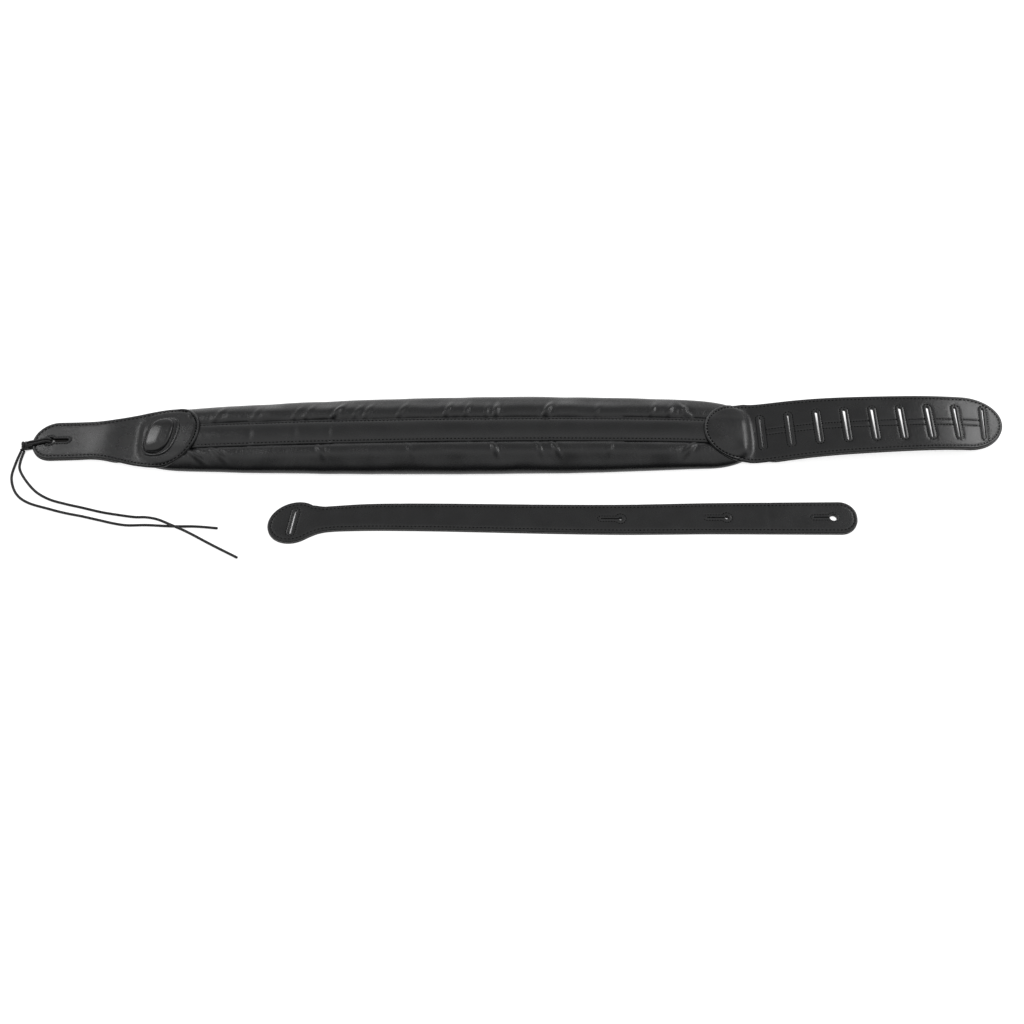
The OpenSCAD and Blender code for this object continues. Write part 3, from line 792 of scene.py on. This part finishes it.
# ---- lace
def add_lace():
    for name, node, route in (("lace_end_a", "lace_tail_a", LACE_A), ("lace_end_b", "lace_tail_b", LACE_B)):
        line = smooth_route(route)
        verts, faces = tube(line, LACE_R * LACE_DRAWN)
        obj = make_mesh(name, verts, faces)
        dress(obj, MAT_LACE, "lace")
        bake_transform(obj)
        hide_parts(node)


def add_hitch():
    """The doubled lace through the head hole and its hitch at the tip of the tab."""
    top = float(head_mid(np.float64(HEAD_HOLE_X))) + STACK_T / 2
    parts = []
    for side in (-1, 1):
        off = side * (LACE_R + 0.35)
        y = MAIN_Y + off
        route = [
            (-449, 30 + off, 4.2), (-445, 30.3 + off, 6.2), (-441, 31 + off, top + 0.9),
            (-436, 32 + off, top + 1.0), (-429, y - 0.3, top + 1.2), (-425.6, y, top + 0.6),
            (-424.2, y, top - 1.6), (-425.6, y, top - 4.3),
            (-430, y - 0.4, top - 5.2), (-437, 32 + off, 1.2), (-443, 30.5 + off, 1.6), (-448, 29 + off, 2.6),
            (-449.5 + side, 26.5, 2.5),
        ]
        parts.append(tube(smooth_route(route, 0.7), LACE_R * HITCH_DRAWN))
    coil = []
    for i in range(41):
        a = 2 * math.pi * 1.6 * i / 40
        coil.append((-446.6 + 2.2 * (i / 20 - 1), 30 + 2.7 * math.cos(a), 4.4 + 2.9 * math.sin(a)))
    parts.append(tube(resample(np.array(coil), 0.6, False), LACE_R * HITCH_DRAWN))
    verts, faces = joined(parts)
    obj = make_mesh("lace_hitch", verts, faces)
    dress(obj, MAT_LACE, "lace", "head_tab")
    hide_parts("lace_loop", "lace_knot")


add_camera()
add_lace()
add_hitch()


# ---- pad
def pad_section(x, count):
    """Outer section of the cover from one fold under the pad over the crown to the other."""
    a, h = float(pad_w(np.float64(x))), float(pad_h(np.float64(x)))
    zc = 0.45 * h
    low = [(a - FOLD_R + FOLD_R * math.cos(f), zc * (1 - math.sin(f)))
           for f in np.radians(np.linspace(90, 0, 12, endpoint=False))]
    up = [(a * math.cos(f) ** 0.8, zc + (h - zc) * math.sin(f) ** 0.8)
          for f in np.radians(np.linspace(0, 90, 28, endpoint=False))]
    side = low + up
    whole = side + [(0, h)] + [(-y, z) for y, z in reversed(side)]
    return resample(whole, None, False, count)


def section_normals(section):
    """Outward normals of a section of the cover."""
    tangent = np.gradient(section, axis=0)
    tangent /= np.linalg.norm(tangent, axis=1)[:, None]
    return np.column_stack([tangent[:, 1], -tangent[:, 0]])


# Creases of the cover: place along X, side (1 far, -1 near), depth before CREASE_DEPTH and width, in
# millimetres, and how far each runs along the strap for every millimetre away from the band.
CREASES = [
    (-205, 1, 0.7, 2.2, 0.6), (-194.5, 1, 0.7, 2.2, 0.6), (-169, 1, 1.5, 2.6, 0.7), (-150, 1, 0.8, 2.2, 0.6),
    (-139.6, 1, 0.9, 2.2, 0.5), (-109.5, 1, 0.9, 2.4, 0.6), (-67, 1, 1.0, 2.2, 0.5), (-48.5, 1, 0.9, 2.2, 0.4),
    (-30, 1, 0.8, 1.9, 0.3), (-20.2, 1, 1.6, 2.4, 0.2), (24, 1, 1.8, 2.8, 0.5), (120, 1, 0.8, 2.2, 0.5),
    (136.5, 1, 0.9, 2.2, 0.4), (150, 1, 0.8, 2.2, 0.4), (-242, 1, 0.5, 2.4, 0.5),
    (-180, -1, 0.9, 2.4, 0.4), (-23, -1, 1.4, 2.6, 0.3), (17, -1, 0.9, 2.2, 0.3), (30, -1, 1.1, 2.4, 0.5),
    (-278, 1, 0.6, 3.0, 0.7), (-276, -1, 0.9, 3.0, 0.9), (158, 1, 0.8, 3.0, -0.6), (160, -1, 1.2, 3.2, -0.7),
    (-100, -1, 0.5, 2.6, 0.4), (85, -1, 0.5, 2.6, -0.3), (70, 1, 0.5, 2.4, 0.4),
    (-300, -1, 1.2, 3.5, 1.2), (-297, 1, 1.0, 2.5, -0.3),
]
CREASE_DEPTH = 1.75
BAND_FOLDS = [(-242.3, 0.25), (-201.6, 0.25), (-170.6, 0.45), (-68.8, 0.35), (-43.2, 0.35), (-29, 0.4),
              (18.8, 0.35), (25, 0.45)]
BAND_X0, BAND_X1 = -300.0, 182.0
SIM_FRAMES = 20
SIM_PRESSURE = 4.0
SIM_SLACK = 0.01
SIM_CAP = 1.6
SIM_SMOOTHING = 8


def crease_depth(x, away, side_y):
    """How far the cover sinks at x, away millimetres from the edge of the band."""
    z = np.zeros_like(away)
    for cx, side, depth, width, lean in CREASES:
        dx = (x - cx - lean * away) / width
        window = np.exp(-(((away - 7) / 6.5) ** 2))
        valleys = 0.3 * np.exp(-((dx - 1.3) ** 2)) + 0.2 * np.exp(-((dx + 1.5) ** 2))
        ridge = 0.9 * np.exp(-((dx / 0.75) ** 2))
        z += np.where(side_y * side > 0, CREASE_DEPTH * depth * window * (valleys - ridge), 0)
    return z


def pad_grid(xs, count, shrink):
    """Sections of the cover at xs, drawn smaller all round by shrink, as an array of points."""
    rings = []
    for x in xs:
        section = pad_section(x, count)
        section = section - shrink * section_normals(section)
        rings.append(np.column_stack([np.full(count, x), section]))
    return np.array(rings)


def grid_faces(rows, count):
    return [(i * count + j, (i + 1) * count + j, (i + 1) * count + j + 1, i * count + j + 1)
            for i in range(rows - 1) for j in range(count - 1)]


def swelling(rows, count):
    """How far the cover moves when it is filled: a cloth simulation of the sheet, sewn down along the
    band, at its ends and under the pad. Returns the grid's places and the moves, in millimetres."""
    xs = np.linspace(PAD_X0, PAD_X1, rows)
    grid = pad_grid(xs, count, 0.8)
    obj = make_mesh("cloth_sheet", grid.reshape(-1, 3), grid_faces(rows, count))
    sewn = np.abs(grid[..., 1]) < BAND_HALF + 1
    sewn[:2] = sewn[-2:] = True
    sewn[:, :4] = sewn[:, -4:] = True
    pin = obj.vertex_groups.new(name="sewn")
    pin.add([int(i) for i in np.flatnonzero(sewn.ravel())], 1.0, "REPLACE")
    cloth_part = obj.modifiers.new("cloth", "CLOTH")
    settings = cloth_part.settings
    settings.quality = 8
    settings.tension_stiffness = 40
    settings.compression_stiffness = 40
    settings.bending_stiffness = 8
    settings.use_pressure = True
    settings.uniform_pressure_force = SIM_PRESSURE
    settings.shrink_min = -SIM_SLACK
    settings.vertex_group_mass = "sewn"
    settings.effector_weights.gravity = 0
    cloth_part.point_cache.frame_end = SIM_FRAMES
    for frame_number in range(1, SIM_FRAMES + 1):
        bpy.context.scene.frame_set(frame_number)
    graph = bpy.context.evaluated_depsgraph_get()
    mesh = obj.evaluated_get(graph).to_mesh()
    after = np.zeros(len(mesh.vertices) * 3)
    mesh.vertices.foreach_get("co", after)
    moves = after.reshape(grid.shape) / MM - grid
    bpy.data.objects.remove(obj)
    bpy.context.scene.frame_set(1)
    size = np.linalg.norm(moves, axis=2, keepdims=True)
    moves *= np.minimum(1, SIM_CAP / size.clip(1e-6))
    for _ in range(SIM_SMOOTHING):
        moves[1:-1] = (moves[:-2] + 2 * moves[1:-1] + moves[2:]) / 4
        moves[:, 1:-1] = (moves[:, :-2] + 2 * moves[:, 1:-1] + moves[:, 2:]) / 4
    return xs, moves


def add_pad():
    count = 97
    coarse_xs, moves = swelling(160, 49)
    coarse_at = np.linspace(0, 1, moves.shape[1])
    fine_at = np.linspace(0, 1, count)
    inner0, inner1 = PAD_X0 + 14, PAD_X1 - 14
    xs = np.concatenate([np.linspace(PAD_X0, inner0, 15)[:-1], np.linspace(inner0, inner1, 330)[:-1],
                         np.linspace(inner1, PAD_X1, 15)])
    rings = []
    for x in xs:
        section = pad_section(x, count)
        across = np.abs(section[:, 0])
        above = (section[:, 1] / pad_h(np.float64(x)) * 2).clip(0, 1)
        away = across - BAND_HALF
        ends = float(np.clip(min(x - PAD_X0, PAD_X1 - x) / 60, 0, 1))
        sink = crease_depth(x, away, section[:, 0])
        sink += 1.1 * np.exp(-(((across - BAND_HALF) / 2.2) ** 2)) + np.where(across < BAND_HALF, 0.8, 0)
        sink -= 1.6 * np.exp(-(((across - BAND_HALF - 10) / 7) ** 2)) * ends
        section = section - section_normals(section) * (sink * above)[:, None]
        at = np.interp(x, coarse_xs, np.arange(len(coarse_xs)))
        row = int(min(at, len(coarse_xs) - 2))
        step = moves[row] + (moves[row + 1] - moves[row]) * (at - row)
        shift = np.column_stack([np.interp(fine_at, coarse_at, step[:, k]) for k in range(3)])
        ring = np.column_stack([np.full(count, x), section]) + shift
        ring[:, 2] = ring[:, 2].clip(0)
        rings.append(ring)
    obj = make_mesh("pad_cover_leather", np.vstack(rings), grid_faces(len(xs), count), main_place)
    shell = obj.modifiers.new("shell", "SOLIDIFY")
    shell.thickness = 1.1 * MM
    shell.offset = -1
    apply_modifiers(obj)
    dress(obj, MAT_PAD, "cover_leather", "pad")
    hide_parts("pad_cover")


def apply_modifiers(obj):
    """Replace the mesh by what its modifiers make of it."""
    graph = bpy.context.evaluated_depsgraph_get()
    mesh = bpy.data.meshes.new_from_object(obj.evaluated_get(graph))
    old = obj.data
    obj.modifiers.clear()
    obj.data = mesh
    bpy.data.meshes.remove(old)
    mesh.shade_smooth()


def band_seat(x, y):
    """Underside of the band: arched from seam to seam, with a few folds across it."""
    z = pad_h(x) + 0.5 - 2.1 * (np.abs(y) / BAND_HALF) ** 2 + 0.1 * np.sin(x / 17)
    for at, depth in BAND_FOLDS:
        z = z - depth * np.exp(-(((x - at) / 2.2) ** 2))
        z = z + 0.5 * depth * np.exp(-(((x - at - 4.5) / 2.4) ** 2))
    return z


def add_band():
    edge = [(x, BAND_HALF) for x in np.linspace(BAND_X0, BAND_X1, 320)]
    outer = both_sides([(BAND_X0, 0.01)] + edge + [(BAND_X1, 0.01)])
    net = flat_net(resample(outer, 1.6, True), [], 2.2, rings=(0.15, 0.45, 0.9, 1.6, 2.4, 3.0, 3.6, 4.6))
    obj = layer_mesh("centre_band_leather", net, band_seat, raised(band_seat, TOP_T), stitched_relief(net),
                     main_place)
    dress(obj, MAT_TAB, "band_leather", "pad")
    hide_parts("centre_band")
    along = np.linspace(BAND_X0 + 12, BAND_X1 - 10, 200)
    rows = [[(x, side * (BAND_HALF - SEAM_INSET)) for x in along] for side in (-1, 1)]
    seam = stitch_rows("centre_band_stitches", rows, raised(band_seat, TOP_T - 0.3), main_place, closed=False,
                       body="pad")
    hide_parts("centre_band_seams")


# ---- head tab
def cross_hinge(obj):
    """Bake the placement of a piece of the main strap, where a tab meets the pad, into its mesh; it is not
    bent.
    """
    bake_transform(obj)


def bend_head(obj):
    cross_hinge(obj)


def bend_ladder(obj):
    cross_hinge(obj)


def ride_tail(obj):
    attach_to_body(obj, "tail")


def under_layers(names, outline, holes, seat, place, attach):
    """The stiffener and the backing, each named with the node it replaces. attach is called on each of them."""
    net = flat_net(resample(outline, 1.4, True), holes, 3, rings=UNDER_RINGS)
    kinds = ((BACK_T, BACK_T + CORE_T, MAT_CORE, "stiffener"), (0, BACK_T, MAT_BACK, "backing_leather"))
    for (name, node), (low, high, mat, slot) in zip(names, kinds):
        obj = layer_mesh(name, net, seat(low), seat(high), None, place, bulge=0.05 if low else 0.12)
        dress(obj, mat, slot)
        attach(obj)
        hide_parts(node)


def cap_lip(over_pad, d, height, at, wide, groove):
    """Raised border and stitch groove of a cap at distance d from its edge, where it is over the pad."""
    border = height * np.exp(-(((d - at) / wide) ** 2))
    return over_pad * (border - groove * np.exp(-(((d - SEAM_INSET) / 0.7) ** 2)))


def tucked(outline, x_from, x_to):
    """The loop with one end drawn in to a round tongue from x_from to x_to, which stays out of sight."""
    out = []
    for x, y in outline:
        u = (x - x_from) / (x_to - x_from)
        if u <= 0:
            out.append((x, y))
        elif u < 1:
            out.append((x, y * math.sqrt(1 - u * u)))
    return out


def add_head():
    hole = keyhole(HEAD_HOLE_X, HEAD_SLIT, 0, HEAD_HOLE_R, 1)
    mouth = keyhole(HEAD_HOLE_X, HEAD_SLIT, 0, HEAD_HOLE_R, 1, HEAD_SLIT_HALF)
    net = flat_net(resample(head_outline(), 1.1, True), [mouth], 1.8)
    ring = keyhole(HEAD_HOLE_X, HEAD_SLIT + 0.5, HOLE_SEAM + 0.4, HEAD_HOLE_R - 0.6, 1, 0.8)

    def lip(p, d):
        over_pad = 1 / (1 + np.exp(-(p[:, 0] - HEAD_ROUND_X + 2) / 4))
        return cap_lip(over_pad, d, 1.1, 1.2, 0.8, 0.5)

    relief = stitched_relief(net, [ring], depth=0.34, lip=lip)
    top = layer_mesh("head_tab_leather", net, head_surface(STACK_T - TOP_T), head_surface(STACK_T), relief,
                     head_place)
    dress(top, MAT_TAB, "band_leather")
    bend_head(top)
    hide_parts("head_tab_top", "head_cap_leather")

    short = tucked(head_outline(), HEAD_HINGE_X - 16, HEAD_HINGE_X + 9)
    names = (("head_tab_stiffener", "head_tab_core"), ("head_tab_lining", "head_tab_backing"))
    under_layers(names, short, [hole], partial(layered, head_mid), head_place, bend_head)

    seat = raised(head_surface(STACK_T), -STITCH_SINK)
    edge = stitch_rows("head_tab_stitches", [seam_line(head_outline())], seat, head_place)
    bend_head(edge)
    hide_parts("head_tab_seam", "head_cap_seam")
    eye = stitch_rows("head_keyhole_stitches", [ring], seat, head_place, pitch=2.4, length=1.8,
                      body="head_tab")
    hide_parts("head_keyhole_seam")


def rounded_oval(cx, size, step=1.0):
    """A closed curve between an ellipse and a rounded rectangle."""
    f = np.radians(np.arange(0, 360, 4))
    x = np.sign(np.cos(f)) * np.abs(np.cos(f)) ** 0.75
    y = np.sign(np.sin(f)) * np.abs(np.sin(f)) ** 0.75
    return resample(np.column_stack([cx + size[0] / 2 * x, size[1] / 2 * y]), step, True)


def add_badge():
    cap = head_surface(STACK_T)
    base_t, pad_height = 0.9, 2.3
    net = flat_net(rounded_oval(BADGE_X, BADGE_SIZE), [], 1.6, rings=(0.12, 0.35, 0.8, 1.4, 2.0, 2.6))

    def rim(p, d):
        return edge_relief(d, 0.7) - 0.3 * np.exp(-(((d - 1.9) / 0.5) ** 2))

    def dome(p, d):
        return -1.6 * (1 - np.sqrt(1 - (1 - d / 2.2).clip(0, 1) ** 2)) + 0.5 * (d / 11).clip(0, 1)

    base = layer_mesh("badge_base_leather", net, raised(cap, 0.02), raised(cap, base_t), rim, head_place)
    dress(base, MAT_BADGE, "badge_leather", "pad")
    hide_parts("badge_base")
    net = flat_net(rounded_oval(BADGE_PAD_X, BADGE_PAD_SIZE), [], 1.4,
                   rings=(0.1, 0.3, 0.6, 1.0, 1.6, 2.4, 3.4, 4.6))
    low, high = raised(cap, base_t - 0.2), raised(cap, base_t + pad_height)
    pad = layer_mesh("badge_pad_leather", net, low, high, dome, head_place)
    dress(pad, MAT_BADGE, "badge_leather", "pad")
    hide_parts("badge_pad")
    size = (BADGE_SIZE[0] - 3.8, BADGE_SIZE[1] - 3.8)
    seam = stitch_rows("badge_stitches", [rounded_oval(BADGE_X, size)], raised(cap, base_t - 0.2), head_place,
                       pitch=2.4, length=1.8, r=0.3, body="pad")
    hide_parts("badge_seam")


# ---- ladder tab
def slots():
    return [SLOT_X + i * SLOT_PITCH for i in range(SLOT_COUNT)]


def slot_mouth(cx, width):
    """The cut in the top leather over a slot, which has closed a little more at its near end."""
    length = SLOT_LEN / 2 - MOUTH_SHORT
    return [(cx + (x - cx) * (0.75 + 0.25 * y / length), y) for x, y in stadium(cx, length, width / 2)]


def add_ladder():
    holes = [stadium(x, SLOT_LEN / 2, SLOT_W / 2) for x in slots()]
    mouths = [slot_mouth(x, width) for x, width in zip(slots(), SLOT_MOUTHS)]
    rings = [stadium(x, SLOT_LEN / 2 + SLOT_SEAM, SLOT_W / 2 + SLOT_SEAM) for x in slots()]
    gap = SLOT_W / 2 + SLOT_SEAM + 0.5
    rails = [[(a + gap, side * LADDER_RAIL), (b - gap, side * LADDER_RAIL)]
             for a, b in zip(slots(), slots()[1:]) for side in (-1, 1)]
    net = flat_net(resample(ladder_outline(), 1.1, True), mouths, 1.9, rails=rails)
    rail_lines = [resample(r, 2, False) for r in rails]

    def lip(p, d):
        over_pad = 1 / (1 + np.exp((p[:, 0] - LADDER_ROUND_X + 6) / 4))
        return cap_lip(over_pad, d, 0.7, 1.1, 0.7, 0.3)

    relief = stitched_relief(net, rings, rail_lines, 0.24, lip)
    top = layer_mesh("ladder_leather", net, ladder_surface(STACK_T - TOP_T), ladder_surface(STACK_T), relief,
                     ladder_place)
    dress(top, MAT_TAB, "band_leather")
    bend_ladder(top)
    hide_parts("ladder_top", "ladder_cap_leather")

    short = tucked(ladder_outline(), LADDER_HINGE_X + 18, LADDER_HINGE_X - 9)
    names = (("ladder_stiffener", "ladder_core"), ("ladder_lining", "ladder_backing"))
    under_layers(names, short, holes, partial(layered, ladder_mid), ladder_place, bend_ladder)

    seat = raised(ladder_surface(STACK_T), -STITCH_SINK)
    edge = stitch_rows("ladder_edge_stitches", [seam_line(ladder_outline())], seat, ladder_place)
    bend_ladder(edge)
    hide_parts("ladder_edge_seam", "ladder_cap_seam")
    around = stitch_rows("ladder_slot_stitches", rings, seat, ladder_place, pitch=2.6, length=1.9,
                         body="ladder_tab")
    stitch_rows("ladder_rail_stitches", rails, seat, ladder_place, closed=False, pitch=2.6, length=1.9,
                body="ladder_tab")
    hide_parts("ladder_slot_seams")


# ---- adjusting tail
def disc_slot(half_len, half_width):
    """The slot in the oval end, which leans with it."""
    c, k = math.cos(DISC_SLOT_LEAN), math.sin(DISC_SLOT_LEAN)
    return [(DISC_SLOT_AT[0] + x * c + y * k, DISC_SLOT_AT[1] - x * k + y * c)
            for x, y in stadium(0, half_len, half_width)]


def tail_folds(p, d):
    """Faint folds across the tail from being bent through the slots."""
    return sum(-depth * np.exp(-(((p[:, 0] - at) / 2.2) ** 2)) for at, depth in TAIL_FOLDS)


def add_tail():
    outline = tail_outline()
    buttons = [keyhole(x, BUTTON_SLIT, 0, BUTTON_R * open_by, -1, BUTTON_SLIT_HALF)
               for x, open_by in zip(BUTTON_AT, BUTTON_MOUTHS)]
    eyes = [keyhole(x, BUTTON_SLIT, HOLE_SEAM, BUTTON_R - 0.6, -1) for x in BUTTON_AT]
    ring = disc_slot(DISC_SLOT_LEN / 2 + SLOT_SEAM, SLOT_W / 2 + SLOT_SEAM)
    mouth = disc_slot(DISC_SLOT_LEN / 2 - MOUTH_SHORT, DISC_MOUTH / 2)
    net = flat_net(resample(outline, 1.1, True), [mouth] + buttons, 1.9)
    relief = stitched_relief(net, [ring] + eyes, depth=0.18, lip=tail_folds)
    top = layer_mesh("tail_leather", net, level(STACK_T - TOP_T), level(STACK_T), relief, tail_place)
    dress(top, MAT_TAB, "band_leather", "tail")
    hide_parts("tail_top")
    holes = [disc_slot(DISC_SLOT_LEN / 2, SLOT_W / 2)] + buttons
    names = (("tail_stiffener", "tail_core"), ("tail_lining", "tail_backing"))
    under_layers(names, outline, holes, level, tail_place, ride_tail)
    seat = level(STACK_T - 0.3)
    edge = stitch_rows("tail_edge_stitches", [seam_line(outline)], seat, tail_place, body="tail")
    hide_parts("tail_edge_seam")
    around = stitch_rows("tail_slot_stitches", [ring], seat, tail_place, pitch=2.6, length=1.9, body="tail")
    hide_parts("tail_slot_seam")
    seam = stitch_rows("tail_keyhole_stitches", eyes, seat, tail_place, pitch=2.4, length=1.8, body="tail")
    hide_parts("tail_keyhole_seams")


add_pad()
add_band()
add_head()
add_badge()
add_ladder()
add_tail()

for node, mat in (("pad_backing", MAT_BACK), ("foam_core", MAT_FOAM), ("webbing_core", MAT_WEB)):
    paint(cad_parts[node], mat)


# ---- floor and light
# Painted light on the floor: FLOOR_GLOW is how bright it glows where open, FLOOR_REACH how far the ambient
# occlusion looks that fades the glow to painted shade.
FLOOR_GLOW = 0.95
FLOOR_REACH = 0.05
FLOOR_SIZE, FLOOR_Z = 4.0, -0.0003
SKY = ((0.0, 0.05), (0.15, 0.06), (0.3, 0.18), (0.46, 0.9), (0.6, 1.0), (0.74, 0.52), (0.88, 0.4), (1.0, 1.1))


def add_floor():
    """White paper with painted light: it glows where the sky around it is open, so the table stays white right
    up to the object, and the glow fades to painted shade under raised parts.
    """
    n = Nodes("floor_paper")
    n.colours(n.noise(3, 2), (0.40, 0.40, 0.40), (0.42, 0.42, 0.42))
    n.rough(n.ramp(n.noise(20, 2), 0.3, 0.7, 0.8, 0.9))
    n.bsdf.inputs["Specular IOR Level"].default_value = 0.1
    n.bsdf.inputs["Emission Color"].default_value = (1, 1, 1, 1)
    # Painted shade: the glow is cut by ambient occlusion, so the floor darkens under and beside raised parts.
    open_sky = n.add("ShaderNodeAmbientOcclusion", Distance=FLOOR_REACH)
    open_sky.samples = 8
    glow = n.ramp(open_sky.outputs["AO"], 0.07, 0.21, 0.0, FLOOR_GLOW)
    n.tree.links.new(glow, n.bsdf.inputs["Emission Strength"])
    mesh = bpy.data.meshes.new("floor")
    corners = [(x * FLOOR_SIZE, y * FLOOR_SIZE, FLOOR_Z) for x, y in ((-1, -1), (1, -1), (1, 1), (-1, 1))]
    mesh.from_pydata(corners, [], [(0, 1, 2, 3)])
    obj = bpy.data.objects.new("floor", mesh)
    mesh.materials.append(n.mat)
    bpy.context.scene.collection.objects.link(obj)


def add_area(name, direction, distance_m, size, power):
    """A softbox that faces the middle of the object."""
    data = bpy.data.lights.new(name, "AREA")
    data.shape = "RECTANGLE"
    data.size, data.size_y = size
    data.energy = power
    obj = bpy.data.objects.new(name, data)
    obj.location = Vector(direction).normalized() * distance_m
    obj.rotation_euler = (-obj.location).to_track_quat("-Z", "Y").to_euler()
    bpy.context.scene.collection.objects.link(obj)


def add_light():
    """A white sweep behind the object, darker overhead and in front, and two softboxes."""
    world = bpy.data.worlds.new("studio")
    bpy.context.scene.world = world
    world.use_nodes = True
    tree = world.node_tree
    direction = tree.nodes.new("ShaderNodeTexCoord").outputs["Generated"]
    split = tree.nodes.new("ShaderNodeSeparateXYZ")
    tree.links.new(direction, split.inputs["Vector"])
    ramp = tree.nodes.new("ShaderNodeValToRGB")
    spread = tree.nodes.new("ShaderNodeMapRange")
    spread.inputs["From Min"].default_value = -1
    tree.links.new(split.outputs["Y"], spread.inputs["Value"])
    tree.links.new(spread.outputs["Result"], ramp.inputs["Fac"])
    stops = ramp.color_ramp.elements
    while len(stops) < len(SKY):
        stops.new(0.5)
    for stop, (at, grey) in zip(stops, SKY):
        stop.position = at
        stop.color = (grey, grey, grey, 1)
    tree.links.new(ramp.outputs["Color"], tree.nodes["Background"].inputs["Color"])
    add_area("softbox_right", (0.68, 0.48, 0.55), 1.88, (0.5, 0.6), 5.0)
    add_area("softbox_left", (-0.61, 0.488, 0.622), 1.64, (0.2, 0.35), 1.6)


add_floor()
add_light()
bpy.context.scene.view_settings.view_transform = "Standard"
